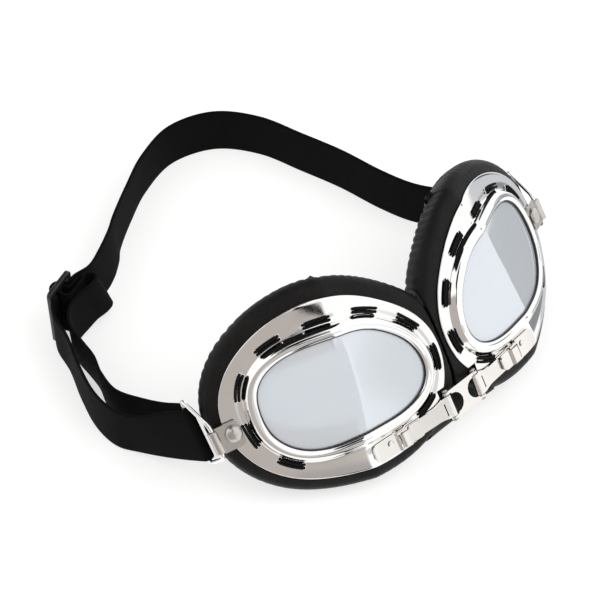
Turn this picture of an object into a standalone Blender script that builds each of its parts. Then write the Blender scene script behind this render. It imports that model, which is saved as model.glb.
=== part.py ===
"""Chrome-framed riding goggles, lying brow-down on a table with their elastic head strap behind them.

Two bent metal eye frames hang from a short bridge link by two hinge pins. Each frame holds a lens on a rubber ring,
a padded leather face cushion that is laced on through holes in the flange, and a riveted bracket with a wire loop for
the strap. The strap runs from the right loop round the back, through a three-bar slider and to the left loop, and
comes back to the slider. All lengths are in metres, and Z is up from the table.

An eye is drawn flat first, in its own coordinates: u runs from the hinge pin towards the temple, v runs up, and w
runs back towards the face. The flat shape is then bent at the crease, turned about the hinge pin and leaned back.
"""

import math

import bmesh
import bpy
import numpy as np
from mathutils import Matrix, Vector

# Eye outlines
FLANGE_WIDTH = 0.088
FLANGE_HEIGHT = 0.071
PIN_INSET_U = 0.0058
PIN_INSET_V = 0.006
SIDE_BAND = 0.012
TOP_BAND = 0.0145
LENS_TOWARDS_NOSE = 0.0021
LENS_ABOVE_MIDDLE = 0.0007
FLANGE_CENTRE_U = FLANGE_WIDTH / 2 - PIN_INSET_U
FLANGE_CENTRE_V = FLANGE_HEIGHT / 2 - PIN_INSET_V
LENS_WIDTH = FLANGE_WIDTH - 2 * SIDE_BAND
LENS_HEIGHT = FLANGE_HEIGHT - 2 * TOP_BAND
LENS_CENTRE_U = FLANGE_CENTRE_U - LENS_TOWARDS_NOSE
LENS_CENTRE_V = FLANGE_CENTRE_V + LENS_ABOVE_MIDDLE
FLANGE_SHARES = (0.99, 1.03, 1.04, 1.01, 1.0, 0.94, 0.9, 0.92, 0.98, 1.05, 1.09, 1.06, 0.96, 0.94, 0.94, 0.96)
LENS_SHARES = (1.0, 1.05, 1.12, 1.04, 0.92, 0.9, 0.87, 0.88, 0.95, 1.08, 1.18, 1.08, 0.97, 1.01, 1.04, 1.01)
SMOOTH_TERMS = 6

# How the frames stand
BRIDGE_SPAN = 0.0151
PIN_HEIGHT = 0.0217
LEAN = math.radians(33.7)
HINGE_ANGLE = math.radians(8.3)
HINGE_CLOSING = math.radians(6.0)
CREASE_TOWARDS_NOSE = 0.0025
CREASE_BELOW_MIDDLE = 0.0052
CREASE_U = LENS_CENTRE_U - CREASE_TOWARDS_NOSE
CREASE_V = LENS_CENTRE_V - CREASE_BELOW_MIDDLE
CREASE_LEAN = math.radians(-7.3)
CREASE_BEND = math.radians(19.7)
CREASE_RADIUS = 0.0117

# Metal, clearances and common stock
SHEET = 0.0008
GAP = 0.0003
OVERRUN = 0.002

# Frame rim round the lens
RIM_WIDTH = 0.005
RIM_HEIGHT = 0.0033
LENS_THICKNESS = 0.0016
LENS_GRIP = 0.0017
RING_WIDTH = 0.0023
RING_DEPTH = 0.0018

# Lacing
STITCHES = 11
HIDDEN_STITCHES = (8, 9)
STITCH_OFFSET = 0.0068
STITCH_FRONT_SHARE = 0.5
STITCH_PHASE_SHARE = -0.38
LACE_RADIUS = 0.0008
LACE_HOLE_RADIUS = 0.0015

# Face cushion
PAD_BULGE = 0.0065
PAD_DEPTH = 0.016
PAD_TEMPLE_DEPTH = 0.022
PAD_DEEPEST_ANGLE = math.radians(-50)
LEATHER = 0.0012
NOSE_GAP = 0.0005
NOSE_PIECE_REACH = 0.009
NOSE_PIECE_TOP = 0.036
NOSE_PIECE_BOTTOM = -0.0025

# Bridge
PIN_RADIUS = 0.0008
PIN_BORE_RADIUS = 0.001
PIN_HEAD_RADIUS = 0.0013
PIN_HEAD_HEIGHT = 0.0006
KNUCKLE_RADIUS = 0.0016
LINK_HEIGHT = 0.0116
LINK_THICKNESS = 0.0009
EAR_HEIGHT = 0.0012
LINK_NOTCH_RADIUS = 0.0041
LEAF_STRIP_HEIGHT = 0.0064
LEAF_FLARE_END_U = 0.008
LEAF_SLOT_LENGTH = 0.0052
LEAF_SLOT_WIDTH = 0.0005
LEAF_TONGUE_HEIGHT = 0.0054
LEAF_TAB_END_U = 0.0142
KEEPER_BAR_U = 0.0208
KEEPER_BAR_WIDTH = 0.0022
KEEPER_SLOT_WIDTH = 0.0024
KEEPER_END_U = 0.0365
KEEPER_HEIGHT = 0.0074
KEEPER_RIVET_U = 0.0288
KEEPER_RIVET_V = 0.0005
KEEPER_RIVET_RADIUS = 0.0008
KEEPER_CENTRE_V = -0.0004

PIN_ROOM = 0.001

# Temple bracket and wire loop
BRACKET_LENGTH = 0.01
BRACKET_ABOVE_MIDDLE = 0.0015
BRACKET_HEIGHT = 0.0105
BARREL_REACH = 0.0043
BARREL_RADIUS = 0.0019
WIRE_RADIUS = 0.0008
RIVET_INSET_SHARE = 0.7
RIVET_RISE = 0.0005
RIVET_HEAD_RADIUS = 0.003
RIVET_HEAD_HEIGHT = 0.0017
RIVET_SHANK_RADIUS = 0.0013
RIVET_TAIL_RADIUS = 0.0017
LOOP_BAR_REACH = 0.0055
LOOP_BAR_W = 0.008
LOOP_BAR_LENGTH = 0.0274
LOOP_BAR_RISE = 0.0043
STRAP_BAR_DROP = 0.001
LOOP_CORNER = 0.0018
BARREL_U = FLANGE_CENTRE_U + FLANGE_WIDTH / 2 + BARREL_REACH
BRACKET_CENTRE_V = FLANGE_CENTRE_V + BRACKET_ABOVE_MIDDLE
RIVET_U = BARREL_U - RIVET_INSET_SHARE * BRACKET_LENGTH
RIVET_V = BRACKET_CENTRE_V + RIVET_RISE
LOOP_BAR_U = BARREL_U + LOOP_BAR_REACH
LOOP_BAR_CENTRE_V = BRACKET_CENTRE_V + LOOP_BAR_RISE
STRAP_BAR_V = LOOP_BAR_CENTRE_V - STRAP_BAR_DROP

# Strap
STRAP_WIDTH = 0.022
STRAP_THICKNESS = 0.0012
STRAP_SPAN = 0.2
STRAP_REACH = 0.14
STRAP_START_Y = 0.052
STRAP_LEAN_SHARE = 0.3
SEWN_TAIL = 0.018

# Slider
SLIDER_LENGTH = 0.016
SLIDER_HEIGHT = 0.028
SLIDER_THICKNESS = 0.002
SLIDER_END_BAR = 0.002
SLIDER_SIDE_BAR = 0.0025
SLIDER_CENTRE_BAR_RADIUS = 0.0011
SLIDER_X_SHARE = -0.78
SLIDER_Y_SHARE = 0.675
SLIDER_HEADING = math.radians(201.5)

# Smoothness of the faceted solids
EYE_STATIONS = 40
ROUND_SIDES = 16
SMALL_SIDES = 12


def remove_everything():
    """Empties the scene that the script starts in."""
    for obj in list(bpy.data.objects):
        bpy.data.objects.remove(obj, do_unlink=True)


def new_collection(name):
    """A collection of this name, linked to the scene."""
    collection = bpy.data.collections.new(name)
    bpy.context.scene.collection.children.link(collection)
    return collection


def new_material(name, colour, roughness, metallic):
    """A Principled material with one plain finish."""
    material = bpy.data.materials.new(name)
    material.use_nodes = True
    shader = material.node_tree.nodes["Principled BSDF"]
    shader.inputs["Base Color"].default_value = (*colour, 1)
    shader.inputs["Roughness"].default_value = roughness
    shader.inputs["Metallic"].default_value = metallic
    material.diffuse_color = (*colour, 1)
    return material


# Outlines in the flat eye plane


def share_curve(shares, angles):
    """A smooth closed curve through evenly spaced shares, read at any angles."""
    terms = np.fft.rfft(np.array(shares)) / len(shares)
    value = np.full(len(angles), terms[0].real)
    for k in range(1, SMOOTH_TERMS + 1):
        value += 2 * (terms[k] * np.exp(1j * k * angles)).real
    return value


def outline(width, height, centre_u, centre_v, shares, count):
    """A closed outline: an ellipse whose radius is varied by the shares."""
    angles = np.linspace(0, 2 * math.pi, count, endpoint=False)
    radius = share_curve(shares, angles)
    u = centre_u + width / 2 * radius * np.cos(angles)
    v = centre_v + height / 2 * radius * np.sin(angles)
    return np.stack([u, v], axis=1)


def outward(points):
    """Unit vectors that point out of a counter-clockwise closed outline."""
    along = np.roll(points, -1, axis=0) - np.roll(points, 1, axis=0)
    normal = np.stack([along[:, 1], -along[:, 0]], axis=1)
    return normal / np.linalg.norm(normal, axis=1)[:, None]


def flange_outline(count=EYE_STATIONS):
    return outline(FLANGE_WIDTH, FLANGE_HEIGHT, FLANGE_CENTRE_U, FLANGE_CENTRE_V, FLANGE_SHARES, count)


def lens_outline(count=EYE_STATIONS):
    return outline(LENS_WIDTH, LENS_HEIGHT, LENS_CENTRE_U, LENS_CENTRE_V, LENS_SHARES, count)


def from_flange(distance, depth):
    """Points this far outside the flange outline, at this depth."""
    line = flange_outline()
    flat = line + distance * outward(line)
    return np.column_stack([flat, np.broadcast_to(depth, len(flat))])


def from_lens(distance, depth):
    """Points this far outside the lens opening, at this depth."""
    line = lens_outline()
    flat = line + distance * outward(line)
    return np.column_stack([flat, np.broadcast_to(depth, len(flat))])


def arc(centre_x, centre_y, radius, start, end, count):
    """Points on an arc, with both ends."""
    angles = np.linspace(start, end, count)
    return [(centre_x + radius * math.cos(a), centre_y + radius * math.sin(a)) for a in angles]


def rounded_rectangle(low_x, low_y, high_x, high_y, radius):
    """A rectangle with four round corners, counter-clockwise."""
    quarter = math.pi / 2
    points = []
    corners = (
        (high_x - radius, high_y - radius),
        (low_x + radius, high_y - radius),
        (low_x + radius, low_y + radius),
        (high_x - radius, low_y + radius),
    )
    for turn, (x, y) in enumerate(corners):
        points += arc(x, y, radius, turn * quarter, (turn + 1) * quarter, 4)
    return points


def strip_profile(line, thickness):
    """The closed outline of a thin strip that follows a line of points."""
    line = np.array(line)
    step = np.gradient(line, axis=0)
    side = np.stack([-step[:, 1], step[:, 0]], axis=1)
    side /= np.linalg.norm(side, axis=1)[:, None]
    return np.concatenate([line + side * thickness / 2, (line - side * thickness / 2)[::-1]])


# Meshes


def mesh_from(name, vertices, faces):
    """A mesh of these points and faces, with its faces turned outwards."""
    mesh = bpy.data.meshes.new(name)
    mesh.from_pydata([tuple(v) for v in vertices], [], [tuple(f) for f in faces])
    turn_outwards(mesh)
    return mesh


def turn_outwards(mesh):
    """Welds what coincides and points every face out."""
    shape = bmesh.new()
    shape.from_mesh(mesh)
    bmesh.ops.remove_doubles(shape, verts=shape.verts, dist=GAP / 100)
    finish_shape(shape, mesh)


def finish_shape(shape, mesh):
    """Points every face of a closed shape out, and stores it in the mesh."""
    bmesh.ops.recalc_face_normals(shape, faces=shape.faces)
    if shape.calc_volume(signed=True) < 0:
        bmesh.ops.reverse_faces(shape, faces=shape.faces)
    shape.to_mesh(mesh)
    shape.free()


def ring_mesh(name, rows):
    """A closed ring: each row runs round the eye, and the rows run round the ring's section."""
    rows = np.array(rows)
    sections, stations = rows.shape[:2]
    faces = []
    for i in range(sections):
        for k in range(stations):
            a = i * stations + k
            b = i * stations + (k + 1) % stations
            c = (i + 1) % sections * stations + (k + 1) % stations
            d = (i + 1) % sections * stations + k
            faces.append((a, b, c, d))
    return mesh_from(name, rows.reshape(-1, 3), faces)


def plate_mesh(name, loops, low, high):
    """A flat plate from closed outlines, the later ones being holes, from one height to another."""
    curve = bpy.data.curves.new(name, "CURVE")
    curve.dimensions = "2D"
    curve.fill_mode = "BOTH"
    curve.extrude = (high - low) / 2
    for loop in loops:
        spline = curve.splines.new("POLY")
        spline.points.add(len(loop) - 1)
        for point, (x, y) in zip(spline.points, loop):
            point.co = (x, y, 0, 1)
        spline.use_cyclic_u = True
    mesh = curve_to_mesh(curve)
    mesh.transform(Matrix.Translation((0, 0, (low + high) / 2)))
    return mesh


def curve_to_mesh(curve):
    """The evaluated mesh of a curve, welded, with the curve removed."""
    holder = bpy.data.objects.new(curve.name, curve)
    bpy.context.scene.collection.objects.link(holder)
    graph = bpy.context.evaluated_depsgraph_get()
    mesh = bpy.data.meshes.new_from_object(holder.evaluated_get(graph))
    bpy.data.objects.remove(holder)
    turn_outwards(mesh)
    return mesh


def wire_mesh(name, points, radius, closed):
    """A round wire along a line of points."""
    curve = bpy.data.curves.new(name, "CURVE")
    curve.dimensions = "3D"
    curve.bevel_depth = radius
    curve.bevel_resolution = 1
    curve.use_fill_caps = not closed
    spline = curve.splines.new("POLY")
    spline.points.add(len(points) - 1)
    for point, place in zip(spline.points, points):
        point.co = (*place, 1)
    spline.use_cyclic_u = closed
    return curve_to_mesh(curve)


def turned_mesh(name, profile, sides):
    """A turned piece: a profile of (radius, height) points, spun about Z."""
    shape = bmesh.new()
    corners = [shape.verts.new((radius, 0, height)) for radius, height in profile]
    edges = [shape.edges.new(pair) for pair in zip(corners, corners[1:])]
    bmesh.ops.spin(
        shape,
        geom=corners + edges,
        axis=(0, 0, 1),
        cent=(0, 0, 0),
        steps=sides,
        angle=2 * math.pi,
        use_merge=False,
    )
    mesh = bpy.data.meshes.new(name)
    shape.to_mesh(mesh)
    shape.free()
    turn_outwards(mesh)
    return mesh


def along_v(mesh, u=0.0, v=0.0, w=0.0):
    """Lays a piece that stands on Z along v, with its middle at this place."""
    mesh.transform(Matrix.Translation((u, v, w)) @ Matrix.Rotation(-math.pi / 2, 4, "X"))
    return mesh


def joined(name, meshes):
    """One mesh that holds all of these."""
    shape = bmesh.new()
    for mesh in meshes:
        shape.from_mesh(mesh)
    whole = bpy.data.meshes.new(name)
    shape.to_mesh(whole)
    shape.free()
    return whole


# From the flat eye to the world


def bend_at_crease(points):
    """Bends flat (u, v, w) points back round the crease."""
    u, v, w = points.T
    cos_lean = math.cos(CREASE_LEAN)
    sin_lean = math.sin(CREASE_LEAN)
    across = (u - CREASE_U) * cos_lean - (v - CREASE_V) * sin_lean
    along = (u - CREASE_U) * sin_lean + (v - CREASE_V) * cos_lean
    half = CREASE_RADIUS * CREASE_BEND / 2
    angle = np.clip((across + half) / CREASE_RADIUS, 0, CREASE_BEND)
    inside = np.minimum(across, -half)
    outside = np.maximum(across - half, 0)
    forth = inside + CREASE_RADIUS * np.sin(angle) + outside * math.cos(CREASE_BEND) - w * np.sin(angle)
    back = CREASE_RADIUS * (1 - np.cos(angle)) + outside * math.sin(CREASE_BEND) + w * np.cos(angle)
    return np.column_stack(
        [
            CREASE_U + forth * cos_lean + along * sin_lean,
            CREASE_V - forth * sin_lean + along * cos_lean,
            back,
        ]
    )


def lean_back(points):
    """Leans points (x, height, back) back about the hinge height and sets them on the table."""
    x, up, back = points.T
    y = back * math.cos(LEAN) + up * math.sin(LEAN)
    z = up * math.cos(LEAN) - back * math.sin(LEAN) + PIN_HEIGHT
    return np.column_stack([x, y, z])


def eye_to_world(points, side):
    """Flat eye coordinates to the world, for the eye on this side."""
    u, v, back = bend_at_crease(np.atleast_2d(points)).T
    x = side * (BRIDGE_SPAN / 2 + u * math.cos(HINGE_ANGLE) - back * math.sin(HINGE_ANGLE))
    deep = u * math.sin(HINGE_ANGLE) + back * math.cos(HINGE_ANGLE)
    return lean_back(np.column_stack([x, v, deep]))


def place_eye_piece(mesh, side):
    """Cuts a flat mesh along the crease and carries it to its eye."""
    shape = bmesh.new()
    shape.from_mesh(mesh)
    normal = Vector((math.cos(CREASE_LEAN), -math.sin(CREASE_LEAN), 0))
    half = CREASE_RADIUS * CREASE_BEND / 2
    for share in (-1, -1 / 3, 1 / 3, 1):
        point = Vector((CREASE_U, CREASE_V, 0)) + normal * half * share
        everything = shape.verts[:] + shape.edges[:] + shape.faces[:]
        bmesh.ops.bisect_plane(shape, geom=everything, plane_co=point, plane_no=normal, dist=GAP / 100)
    places = eye_to_world(np.array([v.co for v in shape.verts]), side)
    for vertex, place in zip(shape.verts, places):
        vertex.co = place
    finish_shape(shape, mesh)
    return mesh


def place_bridge_piece(mesh):
    """Carries a mesh drawn as (x, height, back) to the bridge."""
    places = lean_back(np.array([v.co for v in mesh.vertices]))
    for vertex, place in zip(mesh.vertices, places):
        vertex.co = place
    turn_outwards(mesh)
    return mesh


class Workshop:
    """Holds the collections and the finishes, and puts finished meshes into the scene."""

    def __init__(self):
        self.parts = new_collection("goggles")
        self.cutters = new_collection("cutters")
        self.chrome = new_material("chrome", (0.62, 0.63, 0.64), 0.08, 1.0)
        self.nickel = new_material("nickel", (0.5, 0.48, 0.46), 0.3, 1.0)
        self.clear = new_material("lens", (0.7, 0.74, 0.79), 0.05, 0.0)
        self.leather = new_material("leather", (0.028, 0.025, 0.024), 0.45, 0.0)
        self.foam = new_material("foam", (0.05, 0.05, 0.05), 0.9, 0.0)
        self.lace = new_material("lace", (0.01, 0.01, 0.01), 0.8, 0.0)
        self.rubber = new_material("rubber", (0.02, 0.02, 0.02), 0.5, 0.0)
        self.webbing = new_material("webbing", (0.008, 0.008, 0.009), 0.85, 0.0)
        self.plastic = new_material("plastic", (0.04, 0.042, 0.043), 0.35, 0.0)

    def add(self, name, mesh, material, pivot=(0, 0, 0)):
        """A part from a mesh in world places, with its origin at its joint."""
        obj = bpy.data.objects.new(name, mesh)
        self.parts.objects.link(obj)
        mesh.materials.clear()
        mesh.materials.append(material)
        mesh.transform(Matrix.Translation(-Vector(pivot)))
        obj.location = pivot
        mesh.shade_smooth()
        mesh.set_sharp_from_angle(angle=math.radians(35))
        return obj

    def use(self, target, operation, mesh, solver="EXACT"):
        """Cuts, joins or trims a part with a helper mesh in world places."""
        helper = bpy.data.objects.new(f"{target.name}_{operation.lower()}_{len(target.modifiers)}", mesh)
        self.cutters.objects.link(helper)
        helper.hide_render = True
        helper.display_type = "WIRE"
        modifier = target.modifiers.new(helper.name, "BOOLEAN")
        modifier.operation = operation
        modifier.solver = solver
        modifier.object = helper


# Eye pieces


def frame_mesh():
    """The pressed frame: a flat flange and a raised rim with a channel for the lens."""
    lip = RIM_HEIGHT - SHEET
    channel = LENS_GRIP + 2 * GAP
    rows = [
        from_flange(0, SHEET),
        from_flange(0, 0),
        from_lens(RIM_WIDTH, 0),
        from_lens(RIM_WIDTH * 0.92, -RIM_HEIGHT * 0.4),
        from_lens(RIM_WIDTH * 0.74, -RIM_HEIGHT * 0.8),
        from_lens(RIM_WIDTH * 0.5, -RIM_HEIGHT),
        from_lens(RIM_WIDTH * 0.22, -RIM_HEIGHT),
        from_lens(0, -RIM_HEIGHT * 0.88),
        from_lens(0, -lip),
        from_lens(channel, -lip),
        from_lens(channel + SHEET, -lip * 0.7),
        from_lens(channel + SHEET, SHEET),
    ]
    return ring_mesh("frame", rows)


def lens_mesh():
    """The lens: a plate that reaches under the rim's lip."""
    line = lens_outline()
    edge = line + LENS_GRIP * outward(line)
    front = -(RIM_HEIGHT - SHEET) + GAP
    return plate_mesh("lens", [edge], front, front + LENS_THICKNESS)


def lens_ring_mesh():
    """The rubber ring that holds the lens from behind."""
    front = -(RIM_HEIGHT - SHEET) + GAP + LENS_THICKNESS + GAP
    inner = GAP
    rows = [
        from_lens(inner, front),
        from_lens(inner + RING_WIDTH, front),
        from_lens(inner + RING_WIDTH, front + RING_DEPTH),
        from_lens(inner, front + RING_DEPTH),
    ]
    return ring_mesh("lens_ring", rows)


def cushion_depth(line):
    """How deep the cushion is beside these flange points: deepest at the brow's temple corner."""
    angle = np.arctan2(line[:, 1] - FLANGE_CENTRE_V, line[:, 0] - FLANGE_CENTRE_U)
    share = (0.5 + 0.5 * np.cos(angle - PAD_DEEPEST_ANGLE)) ** 2
    return PAD_DEPTH + (PAD_TEMPLE_DEPTH - PAD_DEPTH) * share


def cushion_rows(inset):
    """The cushion's section rows, drawn in from its outer surface by this much."""
    depth = cushion_depth(flange_outline())
    bulge = PAD_BULGE
    return [
        from_flange(bulge * 0.12 - inset * 0.3, SHEET + GAP + inset),
        from_flange(bulge * 0.7 - inset * 0.8, depth * 0.145 + inset * 0.6),
        from_flange(bulge - inset, depth * 0.34),
        from_flange(bulge * 0.92 - inset * 0.95, depth * 0.6 - inset * 0.3),
        from_flange(bulge * 0.55 - inset * 0.7, depth * 0.9 - inset * 0.8),
        from_flange(-bulge * 0.4 - inset * 0.1, depth - inset),
        from_lens(bulge * 0.4 + inset * 0.7, depth * 0.9 - inset * 0.7),
        from_lens(bulge * 0.16 + inset, depth * 0.5),
        from_lens(bulge * 0.5 + inset * 0.9, depth * 0.11 + inset * 0.4),
    ]


def hold_back(rows, side, inset):
    """Carries cushion rows to the eye, kept off the nose plane and off the table."""
    closed = HINGE_ANGLE + HINGE_CLOSING
    rows = np.array(rows)
    nose = (rows[..., 2] * math.sin(closed) - (BRIDGE_SPAN / 2 - NOSE_GAP)) / math.cos(closed)
    rows[..., 0] = np.maximum(rows[..., 0], nose + inset)
    placed = eye_to_world(rows.reshape(-1, 3), side)
    placed[:, 2] = np.maximum(placed[:, 2], inset)
    return placed.reshape(rows.shape)


def cushion_cover_mesh(side):
    """The leather cover: a channel that opens towards the flange, where it is laced."""
    lip_in = STITCH_OFFSET - LACE_RADIUS - 2 * GAP
    front = SHEET + GAP
    outer = [from_flange(0, front), *cushion_rows(0), from_lens(lip_in, front)]
    inner = [
        from_flange(-LEATHER * 0.2, front + LEATHER),
        *cushion_rows(LEATHER),
        from_lens(lip_in, front + LEATHER),
    ]
    outside = hold_back(outer, side, 0)
    inside = hold_back(inner, side, LEATHER)
    return ring_mesh("cushion_cover", [*outside, *inside[::-1]])


def cushion_foam_mesh(side):
    """The foam ring inside the cover, with room for the lacing in front of it."""
    inset = LEATHER + 3 * GAP
    front = SHEET + GAP + 2 * LACE_RADIUS + 2 * GAP
    rows = cushion_rows(inset)
    rows[0] = from_flange(-PAD_BULGE * 0.2, front)
    rows[1][:, 2] = np.maximum(rows[1][:, 2], front + GAP)
    rows[-1] = from_lens(PAD_BULGE * 0.5 + inset * 1.2, front)
    return ring_mesh("cushion_foam", hold_back(rows, side, inset + GAP))


def stitch_line(count):
    """The closed line that the lacing follows, evenly spaced."""
    line = lens_outline(8 * EYE_STATIONS)
    line = line + STITCH_OFFSET * outward(line)
    closed = np.vstack([line, line[:1]])
    run = np.concatenate([[0], np.cumsum(np.linalg.norm(np.diff(closed, axis=0), axis=1))])
    share = (np.arange(count) / count + STITCH_PHASE_SHARE / STITCHES) % 1
    return np.column_stack([np.interp(share * run[-1], run, closed[:, i]) for i in (0, 1)])


def stitch_holes():
    """Where the lacing goes through the flange: the start and the end of every stitch that shows."""
    fine = stitch_line(STITCHES * 100)
    places = []
    for stitch in range(STITCHES):
        if stitch in HIDDEN_STITCHES:
            continue
        places.append(fine[stitch * 100])
        places.append(fine[stitch * 100 + round(STITCH_FRONT_SHARE * 100)])
    return places


def lacing_mesh():
    """One lace that runs in and out through the flange, all round the eye."""
    fine = stitch_line(STITCHES * 100)
    front = -(LACE_RADIUS + GAP)
    back = SHEET + GAP + LACE_RADIUS
    middle = SHEET / 2
    turn = 6
    half = round(STITCH_FRONT_SHARE * 50)
    full = 2 * half
    route = (
        (0, middle),
        (turn, front),
        (half, front * 1.15),
        (full - turn, front),
        (full, middle),
        (full + turn, back),
        (100 - turn, back),
    )
    points = []
    for stitch in range(STITCHES):
        for step, depth in route:
            depth = back if stitch in HIDDEN_STITCHES else depth
            points.append((*fine[(stitch * 100 + step) % len(fine)], depth))
    return wire_mesh("lacing", points, LACE_RADIUS, True)


def pin_stack():
    """Half heights of the bridge hinge, from the leaf's knuckle to the pin's head."""
    ear_high = LINK_HEIGHT / 2
    ear_low = ear_high - EAR_HEIGHT
    knuckle = ear_low - GAP
    return knuckle, ear_low, ear_high


def round_bar(name, radius, half_length, sides=SMALL_SIDES):
    """A plain cylinder along v, through the origin."""
    profile = [(0, -half_length), (radius, -half_length), (radius, half_length), (0, half_length)]
    return along_v(turned_mesh(name, profile, sides))


def leaf_line():
    """The hinge leaf's centre line in (u, w): over the flange, round the keeper bar and back on top."""
    low = -(GAP + SHEET / 2)
    top = low - 2 * (SHEET + GAP)
    step = low - (SHEET + GAP)
    turn_u = KEEPER_BAR_U + KEEPER_BAR_WIDTH + GAP
    bend = arc(turn_u, (low + top) / 2, (low - top) / 2, math.pi / 2, -math.pi / 2, 9)
    down_u = KEEPER_BAR_U - GAP - SHEET / 2
    return [
        (0, low * 1.6),
        (KNUCKLE_RADIUS + SHEET, low),
        *bend,
        (down_u + SHEET / 2, top),
        (down_u - SHEET, step),
        (LEAF_TAB_END_U, step),
    ]


def cross_extrusion(name, profile, low_v, high_v):
    """A profile drawn in (u, w), extruded along v."""
    mesh = plate_mesh(name, [profile], low_v, high_v)
    mesh.transform(Matrix.Rotation(-math.pi / 2, 4, "X") @ Matrix.Scale(-1, 4, Vector((0, 1, 0))))
    turn_outwards(mesh)
    return mesh


def leaf_outline():
    """The hinge leaf seen from the front: a tall knuckle that sweeps in to the strip and the tongue."""
    knuckle = pin_stack()[0]
    strip = LEAF_STRIP_HEIGHT / 2
    tongue = LEAF_TONGUE_HEIGHT / 2
    start = KNUCKLE_RADIUS + SHEET
    sweep = []
    for share in np.linspace(0, 1, 6):
        u = start + (LEAF_FLARE_END_U - start) * share
        sweep.append((u, strip + (knuckle - strip) * (1 - share) ** 2))
    fold_u = KEEPER_BAR_U - SHEET
    far = KEEPER_BAR_U + KEEPER_BAR_WIDTH + 3 * SHEET
    top = [(-KNUCKLE_RADIUS * 1.2, knuckle), *sweep, (fold_u, strip), (fold_u + SHEET, tongue), (far, tongue)]
    return [*[(u, v + KEEPER_CENTRE_V * min(max(u, 0) / LEAF_FLARE_END_U, 1)) for u, v in top],
            *[(u, -v + KEEPER_CENTRE_V * min(max(u, 0) / LEAF_FLARE_END_U, 1)) for u, v in reversed(top)]]


def leaf_piece(shop, name, side, pivot):
    """The hinge leaf, one bent strip with a rolled knuckle."""
    high = LINK_HEIGHT
    strip = cross_extrusion(name, strip_profile(leaf_line(), SHEET), -high, high)
    leaf = shop.add(name, place_eye_piece(strip, side), shop.chrome, pivot)
    knuckle = place_eye_piece(round_bar(name, KNUCKLE_RADIUS, high), side)
    shop.use(leaf, "UNION", knuckle, "MANIFOLD")
    outline_plate = plate_mesh(name, [leaf_outline()], -RIM_HEIGHT * 2, RIM_HEIGHT)
    shop.use(leaf, "INTERSECT", place_eye_piece(outline_plate, side), "MANIFOLD")
    bore = place_eye_piece(round_bar(name, PIN_BORE_RADIUS, high), side)
    shop.use(leaf, "DIFFERENCE", bore, "MANIFOLD")
    slot_u = KNUCKLE_RADIUS + SHEET
    slot = rounded_rectangle(
        slot_u, -LEAF_SLOT_LENGTH * 0.6, slot_u + LEAF_SLOT_WIDTH, LEAF_SLOT_LENGTH * 0.4, LEAF_SLOT_WIDTH / 3
    )
    shop.use(leaf, "DIFFERENCE", place_eye_piece(plate_mesh(name, [slot], -OVERRUN, 0), side), "MANIFOLD")
    corner = LEAF_STRIP_HEIGHT / 3
    for up in (-1, 1):
        edge = KEEPER_CENTRE_V + up * LEAF_STRIP_HEIGHT / 2
        over = edge + up * OVERRUN
        trim = [(LEAF_TAB_END_U - OVERRUN, edge - up * corner), (LEAF_TAB_END_U - OVERRUN, over),
                (LEAF_TAB_END_U + corner, over), (LEAF_TAB_END_U + corner, edge)]
        trim += arc_corner(LEAF_TAB_END_U, edge, corner, up)
        front = -(GAP + SHEET + GAP / 2)
        cutter = place_eye_piece(plate_mesh(name, [trim], -RIM_HEIGHT, front), side)
        shop.use(leaf, "DIFFERENCE", cutter, "MANIFOLD")
    return leaf


def arc_corner(low_u, edge_v, radius, up):
    """The round corner of a tab's end, from its long edge to its short one."""
    points = []
    for share in np.linspace(0, 1, 5)[1:-1]:
        angle = share * math.pi / 2
        u = low_u + radius * (1 - math.sin(angle))
        v = edge_v - up * radius * (1 - math.cos(angle))
        points.append((u, v))
    return points


def keeper_piece(shop, name, side, pivot):
    """The slotted keeper plate, joggled up over the leaf where its bar crosses."""
    low = -(GAP + SHEET / 2)
    up = low - (SHEET + GAP)
    slot_start = KEEPER_BAR_U + KEEPER_BAR_WIDTH
    slot_end = slot_start + KEEPER_SLOT_WIDTH
    line = [(KEEPER_BAR_U, up), (slot_end, up), (slot_end + SHEET, low), (KEEPER_END_U, low)]
    half = KEEPER_HEIGHT / 2
    rail = LEAF_TONGUE_HEIGHT / 2 + GAP
    strip = cross_extrusion(name, strip_profile(line, SHEET), -2 * half, 2 * half)
    keeper = shop.add(name, place_eye_piece(strip, side), shop.chrome, pivot)
    middle = KEEPER_CENTRE_V
    outer = rounded_rectangle(KEEPER_BAR_U - OVERRUN, middle - half, KEEPER_END_U, middle + half, half * 0.6)
    slot = rounded_rectangle(slot_start, middle - rail, slot_end, middle + rail, SHEET / 2)
    hole = arc(KEEPER_RIVET_U, KEEPER_RIVET_V, KEEPER_RIVET_RADIUS + GAP, 0, 2 * math.pi, SMALL_SIDES + 1)[:-1]
    cut = plate_mesh(name, [outer, slot, hole], -2 * RIM_HEIGHT, SHEET)
    shop.use(keeper, "INTERSECT", place_eye_piece(cut, side))
    return keeper


def rivet_mesh(name, head_radius, head_height, shank_radius, tail_radius, dome_steps):
    """A domed rivet that holds one sheet on the flange, with its head to the front."""
    seat = GAP + SHEET + GAP
    tail = SHEET + GAP
    dome = []
    for share in np.linspace(0, 1, dome_steps + 1):
        angle = share * math.pi / 2
        dome.append((head_radius * math.sin(angle), -seat - head_height * math.cos(angle)))
    dome[0] = (0, dome[0][1])
    profile = [
        *dome,
        (shank_radius, -seat),
        (shank_radius, tail),
        (tail_radius, tail),
        (tail_radius, tail + SHEET),
        (0, tail + SHEET),
    ]
    return turned_mesh(name, profile, ROUND_SIDES)


def round_hole(u, v, radius):
    """A cutter through the flange."""
    circle = arc(u, v, radius, 0, 2 * math.pi, 9)[:-1]
    return plate_mesh("hole", [circle], -RIM_HEIGHT, OVERRUN)


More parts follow.
